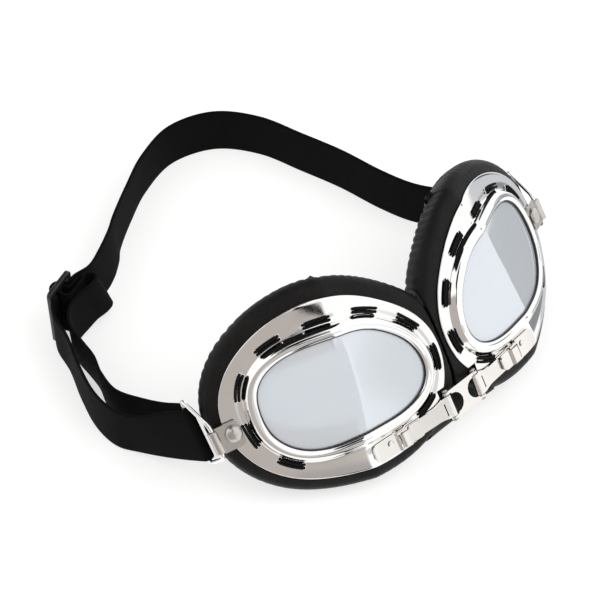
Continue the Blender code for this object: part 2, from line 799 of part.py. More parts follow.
def frame_piece(shop, name, side, pivot):
    """The frame, with its lacing holes and its rivet holes."""
    frame = shop.add(name, place_eye_piece(frame_mesh(), side), shop.chrome, pivot)
    holes = [round_hole(u, v, LACE_HOLE_RADIUS) for u, v in stitch_holes()]
    holes.append(round_hole(RIVET_U, RIVET_V, RIVET_SHANK_RADIUS + GAP))
    holes.append(round_hole(KEEPER_RIVET_U, KEEPER_RIVET_V, KEEPER_RIVET_RADIUS + GAP))
    placed = [place_eye_piece(hole, side) for hole in holes]
    shop.use(frame, "DIFFERENCE", joined(name, placed))
    shop.use(frame, "DIFFERENCE", pin_clearance(side))
    return frame


def pin_clearance(side):
    """The room that the hinge pin, its ears and its heads need."""
    high = LINK_HEIGHT / 2 + GAP + PIN_HEAD_HEIGHT + 2 * GAP
    room = round_bar("pin_clearance", KNUCKLE_RADIUS + PIN_ROOM + GAP, high)
    return place_eye_piece(room, side)


def bracket_piece(shop, name, side, pivot):
    """The temple bracket: a flat plate rolled into a barrel round the wire loop."""
    low = -(GAP + SHEET / 2)
    half = BRACKET_HEIGHT / 2
    plate = rounded_rectangle(
        BARREL_U - BRACKET_LENGTH, BRACKET_CENTRE_V - half, BARREL_U, BRACKET_CENTRE_V + half, half * 0.3
    )
    plate = [(min(u, BARREL_U), v) for u, v in plate]
    hole = arc(RIVET_U, RIVET_V, RIVET_SHANK_RADIUS + GAP, 0, 2 * math.pi, SMALL_SIDES + 1)[:-1]
    sheet = plate_mesh(name, [plate, hole], low - SHEET / 2, low + SHEET / 2)
    bracket = shop.add(name, place_eye_piece(sheet, side), shop.nickel, pivot)
    barrel_half = half * 0.82
    barrel = round_bar(name, BARREL_RADIUS, barrel_half)
    bore = round_bar(name, WIRE_RADIUS + GAP, half + OVERRUN)
    for mesh in (barrel, bore):
        mesh.transform(Matrix.Translation((BARREL_U, BRACKET_CENTRE_V, low)))
    shop.use(bracket, "UNION", place_eye_piece(barrel, side))
    shop.use(bracket, "DIFFERENCE", place_eye_piece(bore, side))
    return bracket


def loop_corners():
    """The wire loop's four corners: two at the barrel and two at the strap bar."""
    barrel_w = -(GAP + SHEET / 2)
    reach = BRACKET_HEIGHT / 2 + 2 * WIRE_RADIUS
    bar = LOOP_BAR_LENGTH / 2
    return [
        (BARREL_U, BRACKET_CENTRE_V + reach, barrel_w),
        (LOOP_BAR_U, LOOP_BAR_CENTRE_V + bar, LOOP_BAR_W),
        (LOOP_BAR_U, LOOP_BAR_CENTRE_V - bar, LOOP_BAR_W),
        (BARREL_U, BRACKET_CENTRE_V - reach, barrel_w),
    ]


def rounded_loop(corners, radius, steps):
    """A closed line through corners, with each corner rounded."""
    points = []
    count = len(corners)
    for i, corner in enumerate(corners):
        here = Vector(corner)
        before = (Vector(corners[i - 1]) - here).normalized()
        after = (Vector(corners[(i + 1) % count]) - here).normalized()
        start = here + before * radius
        end = here + after * radius
        for share in np.linspace(0, 1, steps):
            first = start.lerp(here, share)
            points.append(first.lerp(here.lerp(end, share), share))
    return points


def build_eye(shop, side, prefix):
    """All the pieces of one eye."""
    pivot = lean_back(np.array([[side * BRIDGE_SPAN / 2, 0, 0]]))[0]
    frame_piece(shop, f"{prefix}_frame", side, pivot)
    shop.add(f"{prefix}_lens", place_eye_piece(lens_mesh(), side), shop.clear, pivot)
    shop.add(f"{prefix}_lens_ring", place_eye_piece(lens_ring_mesh(), side), shop.rubber, pivot)
    cover = shop.add(f"{prefix}_cushion_cover", cushion_cover_mesh(side), shop.leather, pivot)
    shop.use(cover, "DIFFERENCE", pin_clearance(side))
    shop.add(f"{prefix}_cushion_foam", cushion_foam_mesh(side), shop.foam, pivot)
    shop.add(f"{prefix}_lacing", place_eye_piece(lacing_mesh(), side), shop.lace, pivot)
    leaf_piece(shop, f"{prefix}_hinge_leaf", side, pivot)
    keeper_piece(shop, f"{prefix}_keeper_plate", side, pivot)
    keeper_rivet = rivet_mesh(
        "keeper_rivet", KEEPER_RIVET_RADIUS * 1.6, KEEPER_RIVET_RADIUS * 0.6, KEEPER_RIVET_RADIUS,
        KEEPER_RIVET_RADIUS * 1.2, 2
    )
    keeper_rivet.transform(Matrix.Translation((KEEPER_RIVET_U, KEEPER_RIVET_V, 0)))
    shop.add(f"{prefix}_keeper_rivet", place_eye_piece(keeper_rivet, side), shop.nickel, pivot)
    bracket_piece(shop, f"{prefix}_temple_bracket", side, pivot)
    rivet = rivet_mesh("temple_rivet", RIVET_HEAD_RADIUS, RIVET_HEAD_HEIGHT, RIVET_SHANK_RADIUS, RIVET_TAIL_RADIUS, 4)
    rivet.transform(Matrix.Translation((RIVET_U, RIVET_V, 0)))
    shop.add(f"{prefix}_temple_rivet", place_eye_piece(rivet, side), shop.nickel, pivot)
    loop_pivot = eye_to_world((BARREL_U, BRACKET_CENTRE_V, -(GAP + SHEET / 2)), side)[0]
    wire = wire_mesh("strap_loop", rounded_loop(loop_corners(), LOOP_CORNER, 5), WIRE_RADIUS, True)
    shop.add(f"{prefix}_strap_loop", place_eye_piece(wire, side), shop.chrome, loop_pivot)


# Bridge


def link_outline():
    """The bridge link seen from the front: an H with a half-round notch at each end."""
    _, ear_low, ear_high = pin_stack()
    end = BRIDGE_SPAN / 2
    inner = end - KNUCKLE_RADIUS - GAP
    notch = arc(inner, 0, LINK_NOTCH_RADIUS, math.pi / 2, 3 * math.pi / 2, 9)
    right = [(end, ear_high), (end, ear_low), (inner, ear_low), *notch, (inner, -ear_low), (end, -ear_low)]
    right.append((end, -ear_high))
    return right + [(-x, y) for x, y in reversed(right)]


def build_bridge(shop):
    """The link, its pins and the leather nose piece behind them."""
    centre = lean_back(np.zeros((1, 3)))[0]
    _, ear_low, ear_high = pin_stack()
    plate = plate_mesh("bridge_link", [link_outline()], -LINK_THICKNESS - GAP, -GAP)
    link = shop.add("bridge_link", place_bridge_piece(plate), shop.chrome, centre)
    for end in (-1, 1):
        x = end * BRIDGE_SPAN / 2
        for up in (-1, 1):
            ear = round_bar("ear", KNUCKLE_RADIUS, EAR_HEIGHT / 2 - GAP / 3)
            ear.transform(Matrix.Translation((x, up * (ear_low + ear_high) / 2, 0)))
            shop.use(link, "UNION", place_bridge_piece(ear), "MANIFOLD")
        bore = round_bar("bore", PIN_BORE_RADIUS, ear_high + OVERRUN)
        bore.transform(Matrix.Translation((x, 0, 0)))
        shop.use(link, "DIFFERENCE", place_bridge_piece(bore), "MANIFOLD")
        head = ear_high + GAP
        top = head + PIN_HEAD_HEIGHT
        profile = [
            (0, -top),
            (PIN_HEAD_RADIUS * 0.6, -top),
            (PIN_HEAD_RADIUS, -(head + top) / 2),
            (PIN_HEAD_RADIUS, -head),
            (PIN_RADIUS, -head),
            (PIN_RADIUS, head),
            (PIN_HEAD_RADIUS, head),
            (PIN_HEAD_RADIUS, (head + top) / 2),
            (PIN_HEAD_RADIUS * 0.6, top),
            (0, top),
        ]
        pin = along_v(turned_mesh("hinge_pin", profile, SMALL_SIDES), x)
        name = "left_hinge_pin" if end < 0 else "right_hinge_pin"
        pivot = lean_back(np.array([[x, 0, 0]]))[0]
        shop.add(name, place_bridge_piece(pin), shop.nickel, pivot)
    shop.add("nose_piece", nose_piece_mesh(), shop.leather, centre)


def cushion_nose_x(height, depth):
    """How far from the middle plane the cushion's nose side is, at this height and depth."""
    count = 6 * EYE_STATIONS
    line = flange_outline(count)
    share = depth / PAD_TEMPLE_DEPTH
    bulge = PAD_BULGE * float(np.interp(share, (0, 0.145, 0.34, 0.6, 0.9), (0.12, 0.7, 1, 0.92, 0.55)))
    line = line + bulge * outward(line)
    closed = HINGE_ANGLE + HINGE_CLOSING
    nose = (depth * math.sin(closed) - (BRIDGE_SPAN / 2 - NOSE_GAP)) / math.cos(closed)
    near = line[np.abs(line[:, 1] - height) < FLANGE_HEIGHT / 40]
    u = max(near[:, 0].min(), nose) if len(near) else NOSE_PIECE_REACH
    return BRIDGE_SPAN / 2 + u * math.cos(HINGE_ANGLE) - depth * math.sin(HINGE_ANGLE)


def nose_piece_mesh():
    """The leather web that joins the cushions over the nose, a little narrower than the space between them."""
    rows = []
    heights = np.linspace(NOSE_PIECE_BOTTOM, NOSE_PIECE_TOP, 16)
    behind_link = KNUCKLE_RADIUS + PIN_BORE_RADIUS
    for height in heights:
        front = behind_link if height < LINK_HEIGHT else SHEET + GAP
        depths = np.linspace(front, PAD_DEPTH * 0.75, 4)
        half = []
        for depth in depths:
            room = min(cushion_nose_x(height, d) for d in (depth - SHEET, depth, depth + SHEET))
            half.append(min(room - 5 * GAP, NOSE_PIECE_REACH))
        half = np.maximum(np.array(half), GAP)
        left = [(-h, height, d) for h, d in zip(half, depths)]
        right = [(h, height, d) for h, d in zip(half, depths)]
        rows.append([*left, *right[::-1]])
    rows = np.array(rows)
    count = rows.shape[1]
    faces = []
    for i in range(len(rows) - 1):
        for k in range(count):
            a = i * count + k
            b = i * count + (k + 1) % count
            faces.append((a, b, b + count, a + count))
    faces.append(tuple(range(count)))
    faces.append(tuple(range((len(rows) - 1) * count, len(rows) * count)))
    return place_bridge_piece(mesh_from("nose_piece", rows.reshape(-1, 3), faces))


# Strap

# Each place is a share of the strap's half span (x), of its reach behind the loops (y) and of its width (height).
RIGHT_RUN_SHARES = (
    (0.815, 0.1, 0.84),
    (0.75, 0.19, 0.65),
    (0.69, 0.29, 0.53),
    (0.65, 0.41, 0.5),
    (0.62, 0.55, 0.5),
    (0.57, 0.69, 0.5),
    (0.51, 0.84, 0.5),
    (0.385, 0.957, 0.5),
    (0.185, 1.0, 0.5),
    (-0.02, 0.957, 0.5),
    (-0.19, 0.886, 0.5),
    (-0.33, 0.818, 0.51, 0.15),
    (-0.4, 0.775, 0.51, 0.5),
    (-0.49, 0.731, 0.51, 0.9),
    (-0.58, 0.697, 0.56, 0.8),
)
LEFT_RUN_SHARES = (
    (-0.885, 0.6, 0.6),
    (-0.905, 0.53, 0.52),
    (-0.96, 0.433, 0.5),
    (-1.005, 0.33, 0.5),
    (-1.01, 0.24, 0.52),
    (-0.97, 0.16, 0.62),
)
RETURN_RUN_SHARES = (
    (-0.875, 0.125, 0.8, 0.0),
    (-0.9, 0.2, 0.6, 0.1),
    (-0.935, 0.286, 0.52, 0.2),
    (-0.917, 0.364, 0.51, 0.3),
    (-0.884, 0.424, 0.51, 0.3),
    (-0.87, 0.479, 0.51, 0.3),
)
TAIL_RUN_SHARES = (
    (-0.8685, 0.4855, 0.51, 0.3),
    (-0.86, 0.535, 0.52, 0.25),
    (-0.846, 0.57, 0.54, 0.15),
    (-0.82, 0.595, 0.57, 0.15),
    (-0.784, 0.609, 0.59, 0.5),
    (-0.743, 0.618, 0.6, 0.8),
    (-0.695, 0.626, 0.62, 1.0),
    (-0.645, 0.628, 0.63, 1.0),
    (-0.606, 0.637, 0.63, 1.0),
    (-0.594, 0.653, 0.63, 1.0),
    (-0.61, 0.666, 0.63, 0.9),
    (-0.644, 0.669, 0.635, 0.5),
)


def strap_places(shares):
    """World places and rulings of a run of the strap. The fourth share of a place, if any, leans its ruling."""
    places = []
    for x, y, height, *lean in shares:
        place = (x * (STRAP_SPAN / 2), STRAP_START_Y + y * STRAP_REACH, height * STRAP_WIDTH)
        ruling = Vector((-STRAP_LEAN_SHARE * sum(lean), 0, 1)).normalized()
        places.append((Vector(place), ruling))
    return places


def bar_frame(side, towards):
    """A strap bar's centre, its direction, the way the strap leaves it, and its outer side."""
    ends = eye_to_world(
        [
            (LOOP_BAR_U, STRAP_BAR_V - STRAP_WIDTH / 2, LOOP_BAR_W),
            (LOOP_BAR_U, STRAP_BAR_V + STRAP_WIDTH / 2, LOOP_BAR_W),
        ],
        side,
    )
    low, high = Vector(ends[0]), Vector(ends[1])
    centre = (low + high) / 2
    axis = (high - low).normalized()
    leave = towards - centre
    leave = (leave - axis * leave.dot(axis)).normalized()
    out = axis.cross(leave)
    if out.x * side < 0:
        out = -out
    return centre, axis, leave, out


def wrap_bar(centre, axis, leave, out, steps):
    """The strap round a bar: from its outer side, past the front, to its inner side."""
    radius = WIRE_RADIUS + GAP + STRAP_THICKNESS / 2
    places = []
    for share in np.linspace(0, 1, steps):
        angle = share * math.pi
        offset = out * math.cos(angle) * radius - leave * math.sin(angle) * radius
        places.append((centre + offset, axis))
    return places


def slider_frame():
    """The slider's centre and its directions along the strap and outwards."""
    x = SLIDER_X_SHARE * (STRAP_SPAN / 2)
    y = STRAP_START_Y + SLIDER_Y_SHARE * STRAP_REACH
    centre = Vector((x, y, SLIDER_HEIGHT / 2))
    along = Vector((math.cos(SLIDER_HEADING), math.sin(SLIDER_HEADING), 0))
    return centre, along, Vector((along.y, -along.x, 0))


def slider_places(line):
    """World places of points drawn beside the slider as (along, outwards)."""
    centre, along, out = slider_frame()
    return [(centre + along * s + out * n, Vector((0, 0, 1))) for s, n in line]


def weave_line():
    """The strap's way through the slider: under the end bars and over what wraps the centre bar."""
    under = -(SLIDER_THICKNESS / 2 + GAP + STRAP_THICKNESS / 2)
    over = SLIDER_CENTRE_BAR_RADIUS + 2 * GAP + 1.5 * STRAP_THICKNESS
    end = SLIDER_LENGTH / 2
    inner = end - SLIDER_END_BAR
    crest = [(-s, n) for s, n in arc(0, 0, over, 0, math.pi, 9)]
    return [
        (-end - SHEET, under),
        (-inner, under),
        (-(inner + over) / 2, under * 0.8),
        *crest,
        ((inner + over) / 2, under * 0.8),
        (inner, under),
        (end + SHEET, under),
    ]


def tail_line():
    """The strap's end, from the folded slack to the centre bar, round it and back on itself."""
    wrap = SLIDER_CENTRE_BAR_RADIUS + GAP + STRAP_THICKNESS / 2
    under = SLIDER_THICKNESS / 2 + 2 * GAP + 1.5 * STRAP_THICKNESS
    first = -(under + 3 * GAP + STRAP_THICKNESS)
    second = -(under + GAP / 2)
    end = SLIDER_LENGTH / 2
    return [
        (-end, first - GAP),
        (-wrap, first - GAP),
        (wrap * 0.55, first),
        (wrap * 1.06, first * 0.7),
        *arc(0, 0, wrap, 0, math.pi, 9),
        (-wrap * 1.05, second * 0.62),
        (-wrap * 1.7, second),
        (-end * 1.05, second),
    ]


def strip_mesh(name, places):
    """A flat strap through places, each with the direction of its width, as an open strip to be thickened."""
    vertices = []
    for place, ruling in places:
        vertices.append(place - ruling * STRAP_WIDTH / 2)
        vertices.append(place + ruling * STRAP_WIDTH / 2)
    faces = [(2 * i, 2 * i + 1, 2 * i + 3, 2 * i + 2) for i in range(len(places) - 1)]
    mesh = bpy.data.meshes.new(name)
    mesh.from_pydata(vertices, [], faces)
    return mesh


def smooth_run(places, steps):
    """A smooth line through places and their rulings, several points to each span."""
    points = np.array([[*place, *ruling] for place, ruling in places])
    padded = np.vstack([2 * points[0] - points[1], points, 2 * points[-1] - points[-2]])
    smooth = []
    for i in range(1, len(padded) - 2):
        before, here, there, after = padded[i - 1 : i + 3]
        for t in np.arange(steps) / steps:
            value = here + 0.5 * t * (
                there - before + t * (2 * before - 5 * here + 4 * there - after + t * (3 * (here - there) + after - before))
            )
            value[2] = max(value[2], STRAP_WIDTH / 2)
            smooth.append(value)
    smooth.append(points[-1])
    return [(Vector(row[:3]), Vector(row[3:]).normalized()) for row in smooth]


def add_strap(shop, name, places, pivot=(0, 0, 0)):
    """A strap piece: the open strip, thickened evenly on both sides."""
    strap = shop.add(name, strip_mesh(name, places), shop.webbing, pivot)
    wall = strap.modifiers.new("thickness", "SOLIDIFY")
    wall.thickness = STRAP_THICKNESS
    wall.offset = 0
    wall.use_even_offset = True
    return strap


def sewn_end(centre, axis, leave, out, run):
    """The strap end that is sewn back inside the right loop, beside the first places of the run."""
    inward = -out
    clear = STRAP_THICKNESS + 2 * GAP
    turn = WIRE_RADIUS + GAP + STRAP_THICKNESS / 2
    places = [(centre + inward * turn + leave * turn, axis)]
    for distance in np.linspace(SEWN_TAIL * 0.4, SEWN_TAIL, 4):
        best = None
        for (first, ruling), (second, _) in zip(run, run[1:]):
            step = (second - first).length
            if best is None and (first - centre).length <= distance < (second - centre).length:
                share = (distance - (first - centre).length) / step
                best = (first.lerp(second, share), ruling, (second - first).normalized())
        place, ruling, heading = best
        normal = ruling.cross(heading).normalized()
        if normal.dot(out) > 0:
            normal = -normal
        places.append((place + normal * clear, ruling))
    return places[::-1]


def build_strap(shop):
    """The elastic strap in two pieces, and the slider between them."""
    right_run = strap_places(RIGHT_RUN_SHARES)
    left_run = strap_places(LEFT_RUN_SHARES)
    back_run = strap_places(RETURN_RUN_SHARES)
    right = bar_frame(1, right_run[0][0])
    left = bar_frame(-1, left_run[-1][0])
    wrap_right = wrap_bar(*right, 7)
    wrap_left = wrap_bar(*left, 7)
    lead = smooth_run([wrap_right[0], *right_run, *slider_places(weave_line()[:2])], 4)
    weave = slider_places(weave_line()[2:-2])
    left_part = smooth_run([*slider_places(weave_line()[-2:]), *left_run, wrap_left[0]], 4)
    return_part = smooth_run([wrap_left[-1], *back_run], 4)
    tail = sewn_end(*right, lead)
    band = [*tail, *wrap_right[::-1][:-1], *lead, *weave, *left_part, *wrap_left[1:-1], *return_part]
    add_strap(shop, "strap_band", band)
    slider_centre = slider_frame()[0]
    slack = smooth_run([*strap_places(TAIL_RUN_SHARES), *slider_places(tail_line()[:2])], 3)
    add_strap(shop, "strap_tail", [*slack, *slider_places(tail_line()[2:])], slider_centre)
    build_slider(shop)


def build_slider(shop):
    """The three-bar slider: a flat frame with a round centre bar."""
    centre, along, out = slider_frame()
    half_length = SLIDER_LENGTH / 2
    half_height = SLIDER_HEIGHT / 2
    slot_x = half_length - SLIDER_END_BAR
    slot_y = half_height - SLIDER_SIDE_BAR
    outer = rounded_rectangle(-half_length, -half_height, half_length, half_height, SLIDER_END_BAR)
    inner = rounded_rectangle(-slot_x, -slot_y, slot_x, slot_y, SLIDER_END_BAR / 2)
    frame = plate_mesh("slider", [outer, inner], -SLIDER_THICKNESS / 2, SLIDER_THICKNESS / 2)
    bar = round_bar("centre_bar", SLIDER_CENTRE_BAR_RADIUS, slot_y + SLIDER_SIDE_BAR / 2, 8)
    turn = Matrix((along, (0, 0, 1), out)).transposed().to_4x4()
    place = Matrix.Translation(centre) @ turn
    for mesh in (frame, bar):
        mesh.transform(place)
        turn_outwards(mesh)
    slider = shop.add("slider", frame, shop.plastic, centre)
    shop.use(slider, "UNION", bar)


def centre_on_footprint(shop):
    """Moves everything so that the origin is under the middle of the whole part."""
    graph = bpy.context.evaluated_depsgraph_get()
    low = Vector((math.inf,) * 3)
    high = -low
    for obj in shop.parts.objects:
        solid = obj.evaluated_get(graph)
        for vertex in solid.data.vertices:
            place = solid.matrix_world @ vertex.co
            low = Vector(map(min, low, place))
            high = Vector(map(max, high, place))
    shift = Vector((-(low.x + high.x) / 2, -(low.y + high.y) / 2, 0))
    for collection in (shop.parts, shop.cutters):
        for obj in collection.objects:
            obj.location += shift
    return shift


def main():
    remove_everything()
    shop = Workshop()
    build_bridge(shop)
    build_eye(shop, -1, "left")
    build_eye(shop, 1, "right")
    build_strap(shop)
    bpy.context.view_layer.update()
    shift = centre_on_footprint(shop)
    print("Moved by", [round(value, 5) for value in shift])


main()
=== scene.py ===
"""The looks of a pair of chrome riding goggles with laced leather pads and an elastic strap.

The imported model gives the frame. The goggles stand on their brow edge, and each eye is drawn flat in
(u, v, w): u runs from the bridge pin to the temple, v up from the pin, and w back towards the face.
"""

import logging
from contextlib import contextmanager
from dataclasses import dataclass
from enum import Enum
from math import copysign, cos, pi, radians, sin
from typing import Any, Iterator, Sequence

import bmesh
import bpy
import numpy as np
from bpy.types import Material, Mesh, Node, NodeSocket, NodeTree, Object
from mathutils import Matrix, Vector


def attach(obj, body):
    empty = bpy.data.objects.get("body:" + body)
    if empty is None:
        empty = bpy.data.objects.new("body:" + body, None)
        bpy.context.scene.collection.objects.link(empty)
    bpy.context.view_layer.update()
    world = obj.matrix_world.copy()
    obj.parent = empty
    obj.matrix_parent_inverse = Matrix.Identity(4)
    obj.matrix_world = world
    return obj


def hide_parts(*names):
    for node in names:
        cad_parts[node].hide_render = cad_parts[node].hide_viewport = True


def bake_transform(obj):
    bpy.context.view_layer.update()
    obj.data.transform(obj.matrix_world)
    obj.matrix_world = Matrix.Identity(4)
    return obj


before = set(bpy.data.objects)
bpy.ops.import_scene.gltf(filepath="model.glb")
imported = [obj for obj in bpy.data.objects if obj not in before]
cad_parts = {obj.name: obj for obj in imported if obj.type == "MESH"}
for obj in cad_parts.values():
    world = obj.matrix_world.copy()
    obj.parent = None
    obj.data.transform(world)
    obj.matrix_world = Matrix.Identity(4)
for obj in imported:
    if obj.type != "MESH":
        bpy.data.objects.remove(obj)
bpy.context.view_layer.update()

LOG = logging.getLogger("goggles")
FOOTPRINT_SHIFT = np.array((0.00541, -0.09399, 0.0))
WEAVE_UV = "weave"
CORD_RUN, CORD_TURN = "cord_run", "cord_turn"

Colour = tuple[float, float, float]
Place = tuple[Vector, Vector]
Inputs = dict[Any, Any]
Line = Sequence[tuple[float, ...]]


class Side(Enum):
    """The wearer's left or right eye."""

    LEFT = -1
    RIGHT = 1

    @property
    def prefix(self) -> str:
        """The word that this side's pieces start with."""
        return self.name.lower()

    @property
    def eye(self) -> str:
        """The body that carries this side's eye."""
        return f"{self.prefix}_eye"

    def pick(self, left: int, right: int) -> int:
        """The value for this side."""
        return left if self is Side.LEFT else right


# Node trees


class NodeSheet:
    """A short way to write down a node tree."""

    def __init__(self, tree: NodeTree) -> None:
        """Starts with an empty tree."""
        self.tree = tree
        tree.nodes.clear()

    def add(self, kind: str, inputs: Inputs | None = None, **settings: Any) -> Node:
        """Adds one node.

        Args:
            kind: Blender's name of the node type.
            inputs: a constant, or another node's output, for each input.
            settings: the node's own properties.

        Returns:
            The new node.
        """
        node = self.tree.nodes.new(kind)
        for name, value in settings.items():
            setattr(node, name, value)
        for name, value in (inputs or {}).items():
            if isinstance(value, NodeSocket):
                self.tree.links.new(value, node.inputs[name])
            else:
                node.inputs[name].default_value = value
        return node

    def out(self, kind: str, inputs: Inputs | None = None, **settings: Any) -> NodeSocket:
        """The first output of a new node."""
        return self.add(kind, inputs, **settings).outputs[0]

    def maths(self, operation: str, first: Any, second: Any = 0.0) -> NodeSocket:
        """The result of one sum."""
        return self.out("ShaderNodeMath", {0: first, 1: second}, operation=operation)

    def plus(self, first: Any, second: Any) -> NodeSocket:
        """The sum of two numbers."""
        return self.maths("ADD", first, second)

    def times(self, first: Any, second: Any) -> NodeSocket:
        """The product of two numbers."""
        return self.maths("MULTIPLY", first, second)

    def mix(self, share: Any, first: Any, second: Any) -> NodeSocket:
        """A colour between two others."""
        first, second = ((*v, 1) if isinstance(v, tuple) else v for v in (first, second))
        return self.add("ShaderNodeMix", {0: share, 6: first, 7: second}, data_type="RGBA").outputs[2]

    def spread(self, value: Any, low: float, high: float, start: float = 0.0, end: float = 1.0) -> NodeSocket:
        """A value carried smoothly from the range low to high into the range start to end."""
        inputs = {0: value, 1: low, 2: high, 3: start, 4: end}
        return self.out("ShaderNodeMapRange", inputs, interpolation_type="SMOOTHSTEP")

    def noise(self, place: Any, scale: float, detail: float = 2.0, roughness: float = 0.5) -> NodeSocket:
        """Soft noise, as a value."""
        inputs = {"Vector": place, "Scale": scale, "Detail": detail, "Roughness": roughness}
        return self.out("ShaderNodeTexNoise", inputs)

    def bump(self, height: Any, distance: float, strength: float = 1.0, **below: Any) -> NodeSocket:
        """A bumped normal, on top of another Normal if one is given."""
        inputs = {"Height": height, "Distance": distance, "Strength": strength, **below}
        return self.out("ShaderNodeBump", inputs)

    def place(self) -> NodeSocket:
        """Where a point is on the object."""
        return self.add("ShaderNodeTexCoord").outputs["Object"]

    def mixed(self, share: Any, first: NodeSocket, second: NodeSocket) -> NodeSocket:
        """One shader mixed into another."""
        return self.out("ShaderNodeMixShader", {0: share, 1: first, 2: second})


class Finish:
    """The base of every finish: it makes its material once."""

    name: str

    def material(self) -> Material:
        """Makes the finish's material on first use.

        Returns:
            The material.
        """
        made = bpy.data.materials.get(self.name)
        if made is None:
            made = bpy.data.materials.new(self.name)
            made.use_nodes = True
            sheet = NodeSheet(made.node_tree)
            shader = sheet.out("ShaderNodeBsdfPrincipled", self.inputs(sheet))
            sheet.add("ShaderNodeOutputMaterial", {"Surface": shader})
        return made

    def inputs(self, sheet: NodeSheet) -> Inputs:
        """The shader's inputs, with the nodes that feed them on the sheet."""
        raise NotImplementedError


@dataclass(frozen=True)
class PlatedMetal(Finish):
    """Plated sheet metal: nearly even, with faint hairlines, a soft waviness and dull spots."""

    name: str
    bright: Colour
    dull: Colour
    smooth: float
    rough: float
    hairline: float
    wave: float
    dull_share: float = 0.25

    def inputs(self, sheet: NodeSheet) -> Inputs:
        """The plating's inputs."""
        place = sheet.place()
        dulled = sheet.spread(sheet.noise(place, scale=90.0, detail=3.0), 0.35, 0.75)
        brushed = {"Vector": place, "Scale": (1.0, 7.0, 1.0), "Rotation": (0.3, 0.5, 0.9)}
        hairs = sheet.noise(sheet.out("ShaderNodeMapping", brushed), scale=900.0, detail=3.0, roughness=0.7)
        shine = sheet.spread(hairs, 0.3, 0.8, self.smooth, self.rough)
        waviness = sheet.bump(sheet.noise(place, scale=55.0, detail=1.0), self.wave)
        return {
            "Base Color": sheet.mix(dulled, self.bright, self.dull),
            "Metallic": 1.0,
            "Roughness": sheet.plus(shine, sheet.times(dulled, self.rough * self.dull_share)),
            "Normal": sheet.bump(hairs, self.hairline, Normal=waviness),
        }


@dataclass(frozen=True)
class MirrorLens(Finish):
    """A silvered lens: a cool mirror with a faint haze and a few wipe marks."""

    name: str = "lens_mirror"
    tint: Colour = (0.72, 0.755, 0.8)
    haze: Colour = (0.695, 0.74, 0.785)
    silvering: float = 0.45

    def inputs(self, sheet: NodeSheet) -> Inputs:
        """The lens's inputs."""
        smear = sheet.out("ShaderNodeMapping", {"Vector": sheet.place(), "Scale": (1.0, 1.0, 5.0)})
        marks = sheet.noise(smear, scale=60.0, detail=4.0, roughness=0.6)
        return {
            "Base Color": sheet.mix(sheet.spread(marks, 0.4, 0.8), self.tint, self.haze),
            "Metallic": self.silvering,
            "Roughness": sheet.spread(marks, 0.4, 0.8, 0.03, 0.07),
        }


@dataclass(frozen=True)
class Leather(Finish):
    """Soft black leather with a fine pebble and creases in the gathers: lighter on the pebble crests, a
    painted sheen beside their real lower roughness, darker between the pebbles, a painted shade, and lighter
    in random patches of wear.
    """

    name: str = "pad_leather"
    dark: Colour = (0.0042, 0.0038, 0.0037)
    # The second colour is painted sheen on the pebble crests and real wear in random patches.
    crest_sheen_and_wear: Colour = (0.0105, 0.0094, 0.009)
    pebble: float = 1250.0
    pebble_depth: float = 0.00005
    pebble_warp: float = 0.0012

    def inputs(self, sheet: NodeSheet) -> Inputs:
        """The leather's inputs."""
        place = sheet.place()
        drift = sheet.noise(place, scale=140.0, detail=4.0, roughness=0.6)
        moved = {0: place, 1: sheet.mix(self.pebble_warp, place, drift)}
        warp = sheet.out("ShaderNodeVectorMath", moved, operation="ADD")
        cells = {"Vector": warp, "Scale": self.pebble, "Randomness": 0.9}
        pebbles = sheet.add("ShaderNodeTexVoronoi", cells, feature="SMOOTH_F1").outputs["Distance"]
        grain = sheet.spread(pebbles, 0.05, 0.75, 1.0, 0.0)
        wear = sheet.spread(drift, 0.4, 0.72)
        # The colour mask: pebble crests lighter and the gaps between them darker, as painted sheen and
        # painted shade, plus random patches of wear.
        lift = sheet.plus(sheet.times(grain, 0.55), sheet.times(wear, 0.45))
        wrinkle = sheet.noise(place, scale=480.0, detail=5.0, roughness=0.65)
        soft = sheet.bump(wrinkle, self.pebble_depth * 3.0, 0.8)
        return {
            "Base Color": sheet.mix(lift, self.dark, self.crest_sheen_and_wear),
            "Roughness": sheet.spread(sheet.plus(grain, drift), 0.3, 1.5, 0.56, 0.4),
            "Specular IOR Level": 0.17,
            "Normal": sheet.bump(grain, self.pebble_depth, 0.7, Normal=soft),
        }


@dataclass(frozen=True)
class Felt(Finish):
    """The dark felt that lines the pads against the skin."""

    name: str = "lining_felt"
    deep: Colour = (0.008, 0.008, 0.009)
    raised: Colour = (0.03, 0.029, 0.029)
    nap: float = 0.00012

    def inputs(self, sheet: NodeSheet) -> Inputs:
        """The felt's inputs."""
        place = sheet.place()
        fibre = sheet.noise(place, scale=2600.0, detail=6.0, roughness=0.8)
        clump = sheet.noise(place, scale=420.0, detail=3.0)
        return {
            "Base Color": sheet.mix(sheet.times(fibre, clump), self.deep, self.raised),
            "Roughness": 0.95,
            "Sheen Weight": 0.35,
            "Sheen Roughness": 0.6,
            "Normal": sheet.bump(fibre, self.nap),
        }


